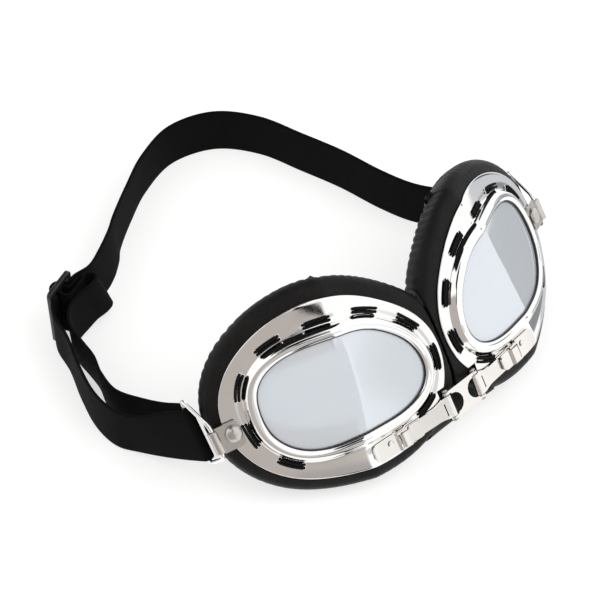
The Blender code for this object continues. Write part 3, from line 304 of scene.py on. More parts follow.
@dataclass(frozen=True)
class WovenElastic(Finish):
    """Woven elastic: ribs along the strap, crossed by a fine weft, read from the strap's UV in metres."""

    name: str = "woven_elastic"
    # deep is painted shade in the grooves between the ribs, raised the lighter rib crests, a painted sheen.
    deep: Colour = (0.0014, 0.0013, 0.0013)
    raised: Colour = (0.0062, 0.0058, 0.0056)
    rib: float = 0.00105
    weft: float = 0.00062
    depth: float = 0.00014

    def inputs(self, sheet: NodeSheet) -> Inputs:
        """The weave's inputs."""
        place = sheet.out("ShaderNodeUVMap", uv_map=WEAVE_UV)
        along, across = sheet.add("ShaderNodeSeparateXYZ", {0: place}).outputs[:2]
        ribs = sheet.maths("SINE", sheet.times(across, 2 * pi / self.rib))
        shift = sheet.times(sheet.maths("SIGN", ribs), pi / 2)
        wefts = sheet.maths("SINE", sheet.plus(sheet.times(along, 2 * pi / self.weft), shift))
        height = sheet.plus(sheet.times(sheet.maths("ABSOLUTE", ribs), 0.65), sheet.times(wefts, 0.22))
        fuzz = sheet.noise(sheet.place(), scale=3200.0, detail=4.0, roughness=0.7)
        rough_height = sheet.plus(height, sheet.times(fuzz, 0.3))
        return {
            # The colour follows the ribs' relief, as the bump does: painted shade in the grooves and painted
            # sheen on the crests, varied by random fuzz.
            "Base Color": sheet.mix(sheet.spread(rough_height, 0.1, 1.1), self.deep, self.raised),
            "Roughness": sheet.spread(fuzz, 0.3, 0.7, 0.78, 0.92),
            "Specular IOR Level": 0.09,
            "Normal": sheet.bump(rough_height, self.depth, 0.9),
        }


@dataclass(frozen=True)
class BraidedCord(Finish):
    """A round braided lace, read from the run and the turn that each cord's mesh carries."""

    name: str = "braided_lace"
    # deep is painted shade between the strands, raised the lighter strand crests, a painted sheen.
    deep: Colour = (0.002, 0.002, 0.002)
    raised: Colour = (0.011, 0.0105, 0.0105)
    pitch: float = 0.0011
    strands: float = 5.0
    depth: float = 0.00012
    fuzziness: float = 0.4

    def inputs(self, sheet: NodeSheet) -> Inputs:
        """The braid's inputs."""
        along, around = (
            sheet.times(sheet.add("ShaderNodeAttribute", attribute_name=name).outputs["Fac"], 2 * pi * often)
            for name, often in ((CORD_RUN, 1 / self.pitch), (CORD_TURN, self.strands))
        )
        crossed = [sheet.maths("SINE", sheet.maths(way, along, around)) for way in ("ADD", "SUBTRACT")]
        weave = sheet.spread(sheet.maths("MAXIMUM", *crossed), -0.4, 1.0)
        fuzz = sheet.noise(sheet.place(), scale=4200.0, detail=3.0, roughness=0.7)
        # Lighter on the strand crests and darker between them, as the braid's relief runs: painted sheen and
        # painted shade, varied by random fuzz.
        crest_sheen_and_wear = sheet.times(weave, sheet.plus(fuzz, self.fuzziness))
        return {
            "Base Color": sheet.mix(crest_sheen_and_wear, self.deep, self.raised),
            "Roughness": 0.82,
            "Specular IOR Level": 0.15,
            "Normal": sheet.bump(sheet.plus(weave, sheet.times(fuzz, self.fuzziness)), self.depth),
        }


@dataclass(frozen=True)
class MouldedRubber(Finish):
    """Moulded black rubber or plastic with a fine even texture and faint scuffs."""

    name: str
    colour: Colour
    scuffed: Colour
    smooth: float
    rough: float
    texture: float

    def inputs(self, sheet: NodeSheet) -> Inputs:
        """The moulded surface's inputs."""
        place = sheet.place()
        speckle = sheet.noise(place, scale=1900.0, detail=3.0, roughness=0.6)
        scuff = sheet.spread(sheet.noise(place, scale=230.0, detail=5.0, roughness=0.75), 0.5, 0.75)
        return {
            "Base Color": sheet.mix(scuff, self.colour, self.scuffed),
            "Roughness": sheet.spread(scuff, 0.0, 1.0, self.smooth, self.rough),
            "Normal": sheet.bump(speckle, self.texture, 0.6),
        }


CHROME = PlatedMetal(
    "plated_chrome", (0.965, 0.96, 0.955), (0.935, 0.925, 0.915),
    smooth=0.02, rough=0.06, hairline=0.0000012, wave=0.00004,
)
STAMPED_CHROME = PlatedMetal(
    "stamped_chrome", (0.9, 0.875, 0.84), (0.84, 0.81, 0.77),
    smooth=0.09, rough=0.19, hairline=0.000003, wave=0.00005,
)
NICKEL = PlatedMetal(
    "satin_nickel", (0.66, 0.63, 0.6), (0.55, 0.52, 0.49),
    smooth=0.24, rough=0.38, hairline=0.000005, wave=0.00005,
)
LENS = MirrorLens()
LEATHER = Leather()
FELT = Felt()
ELASTIC = WovenElastic()
LACE = BraidedCord()
# The thread's two colours are likewise painted shade between its strands and painted sheen on their crests.
THREAD = BraidedCord("waxed_thread", (0.004, 0.004, 0.004), (0.016, 0.015, 0.0145), pitch=0.0006, strands=3.0)
RUBBER = MouldedRubber(
    "gasket_rubber", (0.010, 0.0095, 0.009), (0.02, 0.0195, 0.019), smooth=0.42, rough=0.6, texture=0.00003
)
PLASTIC = MouldedRubber(
    "moulded_plastic", (0.012, 0.0125, 0.013), (0.035, 0.036, 0.037), smooth=0.3, rough=0.48, texture=0.00004
)


# Meshes


def linked(name: str, data: Any = None) -> Object:
    """Puts new data into the scene as an object at the origin."""
    obj = bpy.data.objects.new(name, data)
    bpy.context.scene.collection.objects.link(obj)
    return obj


def mesh_object(name: str, mesh: Mesh, *finishes: Finish, sharp: float = 38.0) -> Object:
    """Puts a finished mesh into the scene.

    Args:
        name: the piece's name.
        mesh: its mesh, in the row frame.
        finishes: its materials, in the order of its slots.
        sharp: the angle past which an edge stays sharp, in degrees.

    Returns:
        The new object.
    """
    obj = linked(name, mesh)
    mesh.materials.clear()
    for finish in finishes:
        mesh.materials.append(finish.material())
    mesh.shade_smooth()
    mesh.set_sharp_from_angle(angle=radians(sharp))
    return obj


def settle(obj: Object, body: str, slot: str, *nodes: str) -> Object:
    """Joins a piece to the model.

    Args:
        obj: the piece.
        body: the body that it rides on.
        slot: not used.
        nodes: the CAD nodes that it stands for.

    Returns:
        The same piece.
    """
    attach(obj, body)
    if nodes:
        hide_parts(*nodes)
    return obj


@contextmanager
def editing(mesh: Mesh) -> Iterator[bmesh.types.BMesh]:
    """Opens a mesh for edits, and writes them back at the end.

    Args:
        mesh: the mesh.

    Yields:
        Its shape, to be edited.
    """
    shape = bmesh.new()
    shape.from_mesh(mesh)
    yield shape
    shape.to_mesh(mesh)
    shape.free()


def face_outwards(shape: bmesh.types.BMesh, merge: float = 0.0) -> None:
    """Points the faces of a closed shape out.

    Args:
        shape: the shape.
        merge: how close points are merged first, or 0.
    """
    if merge:
        bmesh.ops.remove_doubles(shape, verts=shape.verts, dist=merge)
    bmesh.ops.recalc_face_normals(shape, faces=shape.faces)
    if shape.calc_volume(signed=True) < 0:
        bmesh.ops.reverse_faces(shape, faces=shape.faces)


def grid_mesh(
    name: str, rows: np.ndarray, closed: bool = False, caps: bool = False, uv: np.ndarray | None = None
) -> Mesh:
    """A mesh of a grid of points whose rows are closed lines.

    Args:
        name: the mesh's name.
        rows: points as (row, column, xyz).
        closed: whether the last row joins the first.
        caps: whether the first and the last row are filled.
        uv: each point's (u, v), with one more column at the end.

    Returns:
        The mesh, with its faces out where it is closed.
    """
    count, columns = rows.shape[:2]
    steps = [(i, k) for i in range(count if closed else count - 1) for k in range(columns)]
    corners = [((i, k), (i, k + 1), (i + 1, k + 1), (i + 1, k)) for i, k in steps]
    faces = [tuple(i % count * columns + k % columns for i, k in face) for face in corners]
    if caps:
        faces += [tuple(range(columns)), tuple(range((count - 1) * columns, count * columns))]
    mesh = bpy.data.meshes.new(name)
    mesh.from_pydata(rows.reshape(-1, 3), [], faces)
    if uv is not None:
        layer = mesh.uv_layers.new(name=WEAVE_UV)
        values = np.zeros((len(mesh.loops), 2))
        values[: 4 * len(corners)] = [uv[i, k] for face in corners for i, k in face]
        layer.data.foreach_set("uv", values.ravel())
    with editing(mesh) as shape:
        if all(edge.is_manifold for edge in shape.edges):
            face_outwards(shape)
    return mesh


def evaluated_mesh(obj: Object) -> Mesh:
    """Takes the plain mesh of an object with its modifiers, and removes the object.

    Args:
        obj: the object.

    Returns:
        The mesh.
    """
    mesh = bpy.data.meshes.new_from_object(obj.evaluated_get(bpy.context.evaluated_depsgraph_get()))
    bpy.data.objects.remove(obj)
    return mesh


def cut(mesh: Mesh, cutter: Mesh) -> Mesh:
    """Cuts one mesh out of another.

    Args:
        mesh: the mesh to cut.
        cutter: what is taken away from it.

    Returns:
        The cut mesh.
    """
    body, tool = linked("body", mesh), linked("tool", cutter)
    modifier = body.modifiers.new("cut", "BOOLEAN")
    modifier.operation, modifier.solver, modifier.object = "DIFFERENCE", "EXACT", tool
    result = evaluated_mesh(body)
    bpy.data.objects.remove(tool)
    if len(result.polygons) < len(mesh.polygons) / 2:
        raise ValueError(f"cutting {mesh.name} left {len(result.polygons)} faces of {len(mesh.polygons)}")
    return result


def joined(name: str, meshes: Sequence[Mesh]) -> Mesh:
    """Joins meshes.

    Args:
        name: the new mesh's name.
        meshes: the meshes.

    Returns:
        One mesh that holds all of them.
    """
    whole = bpy.data.meshes.new(name)
    with editing(whole) as shape:
        for mesh in meshes:
            shape.from_mesh(mesh)
    return whole


def full_turn(count: int) -> np.ndarray:
    """Evenly spaced angles once round."""
    return np.linspace(0, 2 * pi, count, endpoint=False)


def turned_mesh(name: str, profile: Line, sides: int) -> Mesh:
    """Makes a turned piece with its ends closed.

    Args:
        name: the mesh's name.
        profile: its (radius, height) places, which are spun about Z.
        sides: how many sides it gets.

    Returns:
        The mesh.
    """
    rows = [[(max(r, 1e-6) * cos(a), max(r, 1e-6) * sin(a), h) for a in full_turn(sides)] for r, h in profile]
    mesh = grid_mesh(name, np.array(rows), caps=True)
    with editing(mesh) as shape:
        face_outwards(shape, merge=5e-6)
    return mesh


def catmull_rows(rows: np.ndarray, steps: int) -> np.ndarray:
    """Makes rows of points finer by a smooth curve through them.

    Args:
        rows: the rows.
        steps: how many rows each becomes.

    Returns:
        The finer rows.
    """
    padded = np.concatenate([2 * rows[:1] - rows[1:2], rows, 2 * rows[-1:] - rows[-2:-1]])
    fine = []
    for i in range(1, len(padded) - 2):
        before, here, there, after = padded[i - 1 : i + 3]
        for t in np.arange(steps) / steps:
            curve = 2 * before - 5 * here + 4 * there - after + t * (3 * (here - there) + after - before)
            fine.append(here + 0.5 * t * (there - before + t * curve))
    return np.array([*fine, rows[-1]])


def run_along(line: np.ndarray) -> np.ndarray:
    """How far along a line each of its points is."""
    return np.concatenate([[0], np.cumsum(np.linalg.norm(np.diff(line, axis=0), axis=1))])


def points_at(run: np.ndarray, line: np.ndarray, spots: np.ndarray) -> np.ndarray:
    """The points that are this far along a line."""
    return np.column_stack([np.interp(spots, run, column) for column in line.T])


def refined_copy(body: str, node: str, name: str, finish: Finish, slot: str, bevel: float) -> Object:
    """Makes a piece of a CAD node's shape, with its faces merged and its edges rounded.

    Args:
        body: the body that it rides on.
        node: the node.
        name: the piece's name.
        finish: its finish.
        slot: not used.
        bevel: the radius of its edges, or 0.

    Returns:
        The piece, which stands for the node.
    """
    flat_edge, sharp_edge = radians(1.5), 40.0
    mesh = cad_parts[node].data.copy()
    with editing(mesh) as shape:
        bmesh.ops.remove_doubles(shape, verts=shape.verts, dist=2e-6)
        bmesh.ops.dissolve_limit(shape, angle_limit=flat_edge, verts=shape.verts, edges=shape.edges)
        face_outwards(shape)
    obj = mesh_object(name, mesh, finish, sharp=sharp_edge)
    if bevel > 0:
        modifier = obj.modifiers.new("edge", "BEVEL")
        modifier.width, modifier.segments = bevel, 2
        modifier.limit_method, modifier.angle_limit = "ANGLE", radians(sharp_edge)
    obj.modifiers.new("even", "WEIGHTED_NORMAL").keep_sharp = True
    return settle(obj, body, slot, node)


# Geometry Nodes recipes


class Recipe:
    """A Geometry Nodes tree with named inputs, run once on a base mesh."""

    def __init__(self, name: str, **kinds: str) -> None:
        """Starts a tree.

        Args:
            name: the tree's name.
            kinds: each named input and its kind, such as Float.
        """
        self.tree = bpy.data.node_groups.new(name, "GeometryNodeTree")
        self.sheet = NodeSheet(self.tree)
        face = self.tree.interface
        for way in ("INPUT", "OUTPUT"):
            face.new_socket(name="Geometry", in_out=way, socket_type="NodeSocketGeometry")
        self.names = {
            key: face.new_socket(name=key, in_out="INPUT", socket_type=f"NodeSocket{kind}").identifier
            for key, kind in {**kinds, "Finish": "Material"}.items()
        }
        self.given = self.sheet.add("NodeGroupInput").outputs

    def end(self, geometry: NodeSocket) -> None:
        """Ends the tree.

        Args:
            geometry: what it makes, which becomes real geometry with its material.
        """
        real = self.sheet.out("GeometryNodeRealizeInstances", {0: geometry})
        dressed = {"Geometry": real, "Material": self.given["Finish"]}
        self.sheet.add("NodeGroupOutput", {0: self.sheet.out("GeometryNodeSetMaterial", dressed)})

    def carried(self, name: str) -> NodeSocket:
        """A direction that the base's points carry."""
        return self.sheet.out("GeometryNodeInputNamedAttribute", {"Name": name}, data_type="FLOAT_VECTOR")

    def marked(self, line: NodeSocket, name: str, value: NodeSocket) -> NodeSocket:
        """A line whose points keep a number under a name."""
        inputs = {"Geometry": line, "Name": name, "Value": value}
        return self.sheet.out("GeometryNodeStoreNamedAttribute", inputs, data_type="FLOAT", domain="POINT")

    def circle(self, steps: Any, radius: NodeSocket) -> NodeSocket:
        """A circle."""
        return self.sheet.out("GeometryNodeCurvePrimitiveCircle", {"Resolution": steps, "Radius": radius})

    def scatter(self, instance: NodeSocket, turn: NodeSocket) -> None:
        """Ends the tree with a copy at every point of the base."""
        inputs = {"Points": self.given["Geometry"], "Instance": instance, "Rotation": turn}
        self.end(self.sheet.out("GeometryNodeInstanceOnPoints", inputs))

    def run(self, name: str, base: Mesh, finish: Finish, **values: float) -> Object:
        """Runs the tree on a base mesh.

        Args:
            name: the piece's name.
            base: the points or lines that the tree works on.
            finish: the piece's finish.
            values: the value of each other named input.

        Returns:
            The finished piece, with no modifier left.
        """
        holder = linked("base", base)
        modifier = holder.modifiers.new("recipe", "NODES")
        modifier.node_group = self.tree
        for key, value in {**values, "Finish": finish.material()}.items():
            modifier[self.names[key]] = value
        return mesh_object(name, evaluated_mesh(holder), finish, sharp=60.0)


def cord_recipe() -> Recipe:
    """Writes the recipe for round cords along the base's lines.

    Returns:
        The recipe. Its cords carry how far along and how far round each point is.
    """
    recipe = Recipe("cords", Radius="Float", Sides="Int", Unevenness="Float", Seed="Int")
    sheet, given = recipe.sheet, recipe.given
    curve = sheet.out("GeometryNodeMeshToCurve", {0: given["Geometry"]})
    length = sheet.add("GeometryNodeSplineParameter").outputs["Length"]
    limits = {2: sheet.maths("SUBTRACT", 1.0, given["Unevenness"]), 3: 1.0, "Seed": given["Seed"]}
    wobble = sheet.add("FunctionNodeRandomValue", limits, data_type="FLOAT")
    sizes = {"Curve": recipe.marked(curve, CORD_RUN, length), "Radius": wobble.outputs[1]}
    around = sheet.add("GeometryNodeSplineParameter").outputs["Factor"]
    profile = recipe.marked(recipe.circle(given["Sides"], given["Radius"]), CORD_TURN, around)
    sized = sheet.out("GeometryNodeSetCurveRadius", sizes)
    scale = sheet.out("GeometryNodeInputRadius")
    tube = {"Curve": sized, "Profile Curve": profile, "Scale": scale, "Fill Caps": True}
    recipe.end(sheet.out("GeometryNodeCurveToMesh", tube))
    return recipe


def eyelet_recipe() -> Recipe:
    """Writes the recipe for rolled rings round the base's points.

    Returns:
        The recipe. Its rings stand square to the direction that each point carries.
    """
    recipe = Recipe("eyelets", Hole="Float", Roll="Float", Steps="Int")
    sheet, given = recipe.sheet, recipe.given
    path, roll = recipe.circle(given["Steps"], given["Hole"]), recipe.circle(8, given["Roll"])
    ring = sheet.out("GeometryNodeCurveToMesh", {"Curve": path, "Profile Curve": roll})
    turn = sheet.out("FunctionNodeAlignRotationToVector", {"Vector": recipe.carried("facing")}, axis="Z")
    recipe.scatter(ring, turn)
    return recipe


def stitch_recipe() -> Recipe:
    """Writes the recipe for short rounded threads at the base's points.

    Returns:
        The recipe. Its threads lie along the heading that each point carries.
    """
    recipe = Recipe("stitches", Length="Float", Thickness="Float", Unevenness="Float", Seed="Int")
    sheet, given = recipe.sheet, recipe.given
    bead = sheet.out("GeometryNodeMeshUVSphere", {"Segments": 8, "Rings": 6, "Radius": 0.5})
    sizes = {0: given["Length"], 1: given["Thickness"], 2: given["Thickness"]}
    scaled = {"Geometry": bead, "Scale": sheet.out("ShaderNodeCombineXYZ", sizes)}
    thread = sheet.out("GeometryNodeTransform", scaled)
    limits = {0: (-1, -1, -1), 1: (1, 1, 1), "Seed": given["Seed"]}
    wander = sheet.out("FunctionNodeRandomValue", limits, data_type="FLOAT_VECTOR")
    shaking = {0: wander, "Scale": given["Unevenness"]}
    shaken = sheet.out("ShaderNodeVectorMath", shaking, operation="SCALE")
    skewed = sheet.out("ShaderNodeVectorMath", {0: recipe.carried("heading"), 1: shaken}, operation="ADD")
    first = sheet.out("FunctionNodeAlignRotationToVector", {"Vector": recipe.carried("facing")}, axis="Z")
    headed = {"Rotation": first, "Vector": skewed}
    turn = sheet.out("FunctionNodeAlignRotationToVector", headed, axis="X", pivot_axis="Z")
    recipe.scatter(thread, turn)
    return recipe


def line_mesh(name: str, points: np.ndarray, edges: Line = (), **directions: np.ndarray) -> Mesh:
    """Makes the base that a recipe works on.

    Args:
        name: the mesh's name.
        points: its points.
        edges: the pairs of points that are joined.
        directions: one direction for each point, under each name that the recipes read.

    Returns:
        The mesh.
    """
    mesh = bpy.data.meshes.new(name)
    mesh.from_pydata(points, list(edges), [])
    for key, values in directions.items():
        layer = mesh.attributes.new(key, "FLOAT_VECTOR", "POINT")
        layer.data.foreach_set("vector", np.ascontiguousarray(values, np.float32).ravel())
    return mesh


# The eye's own coordinates


@dataclass(frozen=True)
class EyeForm:
    """The outlines of one eye, drawn flat, and the way from there to the row frame."""

    flange_size: tuple[float, float] = (0.088, 0.071)
    flange_centre: tuple[float, float] = (0.0382, 0.0295)
    lens_size: tuple[float, float] = (0.064, 0.042)
    lens_centre: tuple[float, float] = (0.0361, 0.0302)
    flange_shares: tuple[float, ...] = (
        0.99, 1.03, 1.04, 1.01, 1.0, 0.94, 0.9, 0.92, 0.98, 1.05, 1.09, 1.06, 0.96, 0.94, 0.94, 0.96,
    )
    lens_shares: tuple[float, ...] = (
        1.0, 1.05, 1.12, 1.04, 0.92, 0.9, 0.87, 0.88, 0.95, 1.08, 1.18, 1.08, 0.97, 1.01, 1.04, 1.01,
    )
    smooth_terms: int = 6
    bridge_span: float = 0.0151
    pin_height: float = 0.0217
    lean: float = radians(33.7)
    hinge_angle: float = radians(8.3)
    hinge_closing: float = radians(6.0)
    nose_gap: float = 0.0005
    crease: tuple[float, float] = (0.0336, 0.025)
    crease_lean: float = radians(-7.3)
    crease_bend: float = radians(19.7)
    crease_radius: float = 0.0117
    sheet: float = 0.0008
    gap: float = 0.0003
    rim_width: float = 0.005
    rim_height: float = 0.0033

    def outline(
        self, count: int, size: Sequence[float], centre: Sequence[float], shares: Sequence[float]
    ) -> np.ndarray:
        """Draws a closed outline: an ellipse whose radius is varied smoothly by the shares.

        Args:
            count: how many points it gets.
            size: the ellipse's width and height.
            centre: its middle.
            shares: the radius at even angles, where 1 is the ellipse.

        Returns:
            The outline as (u, v).
        """
        angles = full_turn(count)
        terms = np.fft.rfft(np.array(shares)) / len(shares)
        radius = np.full(count, terms[0].real)
        for k in range(1, self.smooth_terms + 1):
            radius += 2 * (terms[k] * np.exp(1j * k * angles)).real
        turn = (np.cos(angles), np.sin(angles))
        return np.stack([centre[i] + size[i] / 2 * radius * turn[i] for i in (0, 1)], axis=1)

    def flange(self, count: int) -> np.ndarray:
        """The flange's outer edge."""
        return self.outline(count, self.flange_size, self.flange_centre, self.flange_shares)

    def lens(self, count: int) -> np.ndarray:
        """The lens opening."""
        return self.outline(count, self.lens_size, self.lens_centre, self.lens_shares)

    @staticmethod
    def outward(line: np.ndarray) -> np.ndarray:
        """Finds the way out of a closed line.

        Args:
            line: a counter-clockwise line of (u, v).

        Returns:
            A unit vector for each of its points.
        """
        along = np.roll(line, -1, axis=0) - np.roll(line, 1, axis=0)
        normal = np.stack([along[:, 1], -along[:, 0]], axis=1)
        return normal / np.linalg.norm(normal, axis=1)[:, None]

    def row(self, line: np.ndarray, distance: float, depth: float | np.ndarray) -> np.ndarray:
        """A line moved out by a distance and set at a depth, as (u, v, w)."""
        flat = line + distance * self.outward(line)
        return np.column_stack([flat, np.broadcast_to(depth, len(flat))])

    def to_world(self, points: Any, side: Side) -> np.ndarray:
        """Bends flat points at the crease, leans them back and sets them in the row frame.

        Args:
            points: the points as (u, v, w), in an array of any shape.
            side: whose eye they are on.

        Returns:
            The places, in the same order and shape.
        """
        points = np.atleast_2d(np.asarray(points, float))
        u, v, w = points.reshape(-1, 3).T
        cos_lean, sin_lean = cos(self.crease_lean), sin(self.crease_lean)
        across = (u - self.crease[0]) * cos_lean - (v - self.crease[1]) * sin_lean
        along = (u - self.crease[0]) * sin_lean + (v - self.crease[1]) * cos_lean
        half = self.crease_radius * self.crease_bend / 2
        angle = np.clip((across + half) / self.crease_radius, 0, self.crease_bend)
        beyond = np.maximum(across - half, 0)
        forth = np.minimum(across, -half) + self.crease_radius * np.sin(angle)
        forth = forth + beyond * cos(self.crease_bend) - w * np.sin(angle)
        back = self.crease_radius * (1 - np.cos(angle)) + beyond * sin(self.crease_bend) + w * np.cos(angle)
        u = self.crease[0] + forth * cos_lean + along * sin_lean
        v = self.crease[1] - forth * sin_lean + along * cos_lean
        turn = self.hinge_angle
        x = side.value * (self.bridge_span / 2 + u * cos(turn) - back * sin(turn))
        return self.lean_back(np.column_stack([x, v, u * sin(turn) + back * cos(turn)])).reshape(points.shape)

    def lean_back(self, points: np.ndarray) -> np.ndarray:
        """Leans points back about the pin height and sets them in the row frame.

        Args:
            points: the points as (x, height, back).

        Returns:
            Their places.
        """
        x, up, back = points.T
        y = back * cos(self.lean) + up * sin(self.lean)
        z = up * cos(self.lean) - back * sin(self.lean) + self.pin_height
        return np.column_stack([x, y, z]) + FOOTPRINT_SHIFT

    def nose_side(self, depth: Any) -> Any:
        """How near to the bridge an eye may come at this depth, for its hinge to close fully."""
        closed = self.hinge_angle + self.hinge_closing
        return (depth * sin(closed) - (self.bridge_span / 2 - self.nose_gap)) / cos(closed)

    def place(self, mesh: Mesh, side: Side, cuts: int = 2) -> Mesh:
        """Cuts a flat mesh where the crease bends, and carries it to its eye.

        Args:
            mesh: the mesh, which is changed.
            side: whose eye it is for.
            cuts: how many times the bend is cut.

        Returns:
            The same mesh.
        """
        normal = Vector((cos(self.crease_lean), -sin(self.crease_lean), 0))
        half = self.crease_radius * self.crease_bend / 2
        with editing(mesh) as shape:
            for share in np.linspace(-1, 1, cuts):
                point = Vector((*self.crease, 0)) + normal * half * float(share)
                everything = shape.verts[:] + shape.edges[:] + shape.faces[:]
                bmesh.ops.bisect_plane(shape, geom=everything, plane_co=point, plane_no=normal, dist=1e-7)
            places = self.to_world([tuple(vertex.co) for vertex in shape.verts], side)
            for vertex, place in zip(shape.verts, places):
                vertex.co = place
            face_outwards(shape)
        return mesh


FORM = EyeForm()


@dataclass(frozen=True)
class StitchPlan:
    """Where the lace goes in and out of the flange."""

    count: int = 11
    hidden: tuple[int, ...] = (8, 9)
    offset: float = 0.0068
    front_share: float = 0.5
    phase_share: float = -0.38
    spread: float = 0.00066
    fine: int = 200
    outline_points: int = 2400

    def line(self) -> np.ndarray:
        """Draws the closed line of the lacing.

        Returns:
            Its points, evenly spaced, with the same number for each stitch.
        """
        line = FORM.lens(self.outline_points)
        line = line + self.offset * FORM.outward(line)
        closed = np.vstack([line, line[:1]])
        run = run_along(closed)
        points = self.count * self.fine
        share = (np.arange(points) / points + self.phase_share / self.count) % 1
        return points_at(run, closed, share * run[-1])

    def shown(self) -> list[int]:
        """The stitches that lie on the front."""
        return [stitch for stitch in range(self.count) if stitch not in self.hidden]

    def holes(self) -> np.ndarray:
        """Finds the two holes at the start and at the end of every stitch that shows.

        Returns:
            Their (u, v) places.
        """
        line = self.line()
        step = FORM.outward(line) * self.spread
        ends = (0, round(self.front_share * self.fine))
        places = [stitch * self.fine + end for stitch in self.shown() for end in ends]
        return np.array([line[index] + way * step[index] for index in places for way in (-1, 1)])


STITCHES = StitchPlan()


# Eye pieces


@dataclass(frozen=True)
class EyeFrame:
    """The pressed metal frame: a flange with a rolled edge, and a raised rim with a channel for the lens.

    The edge is drawn as (out from the flange's outline, share of the sheet), the ramp as shares of the way
    from that edge to the rim, and the rise as (out from the rim's foot, share of the rim's height).
    """

    stations: int = 360
    crown: float = 0.0003
    lace_hole: float = 0.00058
    rivet_hole: tuple[float, float, float] = (0.0795, 0.0315, 0.0016)
    keeper_hole: tuple[float, float, float] = (0.0288, 0.0005, 0.0011)
    pin_room: float = 0.0029
    pin_reach: float = 0.0076
    hole_reach: float = 0.002
    grip: float = 0.0023
    edge: Line = (
        (-0.0016, 1.0), (-0.0004, 1.0), (-0.0001, 0.92), (0.0, 0.7), (0.0, 0.35), (-0.00008, 0.12),
        (-0.0003, 0.0),
    )
    ramp: tuple[float, ...] = (0.12, 0.28, 0.45, 0.62, 0.8)
    rise: Line = (
        (0.0007, 0.0), (0.0003, -0.01), (0.0, -0.045), (-0.0002, -0.13), (-0.0004, -0.25), (-0.00065, -0.4),
        (-0.00095, -0.56), (-0.0013, -0.72), (-0.0017, -0.85), (-0.0022, -0.945), (-0.0027, -0.99),
        (-0.0032, -1.0), (-0.0037, -0.99), (-0.0042, -0.955), (-0.0046, -0.9), (-0.0049, -0.83),
        (-0.005, -0.76),
    )

    def rows(self) -> np.ndarray:
        """Draws the frame's section, from the back of the flange over the rim and into the channel.

        Returns:
            Its rows of flat points.
        """
        flange, lens = FORM.flange(self.stations), FORM.lens(self.stations)
        sheet, rim, reach = FORM.sheet, FORM.rim_height, FORM.rim_width
        section = [FORM.row(flange, out, sheet * share + self.crown) for out, share in self.edge]
        inner = FORM.row(lens, reach + self.rise[0][0], 0.0)
        outer = FORM.row(flange, self.edge[-1][0], 0.0)
        for share in self.ramp:
            row = outer * (1 - share) + inner * share
            row[:, 2] = self.crown * (1 - share) ** 2
            section.append(row)
        section += [FORM.row(lens, reach + out, rim * share) for out, share in self.rise]
        lip, wall = rim - sheet, self.grip + sheet
        for out, deep in ((FORM.gap, -lip), (self.grip, -lip), (wall, -lip * 0.7), (wall, sheet)):
            section.append(FORM.row(lens, out, deep))
        return np.array(section)

    def build(self, side: Side) -> Object:
        """Makes the frame of one eye.

        Args:
            side: whose eye.

        Returns:
            The piece.
        """
        mesh = grid_mesh("frame", FORM.to_world(self.rows(), side), closed=True)
        tools = []
        holes = [(*hole, self.lace_hole) for hole in STITCHES.holes()]
        for u, v, radius in (*holes, self.rivet_hole, self.keeper_hole):
            tool = turned_mesh("hole", [(radius, -self.hole_reach), (radius, self.hole_reach)], 16)
            tool.transform(Matrix.Translation((u, v, 0)))
            tools.append(FORM.place(tool, side))
        room = turned_mesh("room", [(self.pin_room, -self.pin_reach), (self.pin_room, self.pin_reach)], 24)
        room.transform(Matrix.Rotation(-pi / 2, 4, "X"))
        tools.append(FORM.place(room, side))
        mesh = cut(mesh, joined("holes", tools))
        obj = mesh_object(f"{side.prefix}_frame_plated", mesh, CHROME, sharp=50.0)
        return settle(obj, side.eye, "chrome", f"{side.prefix}_frame")


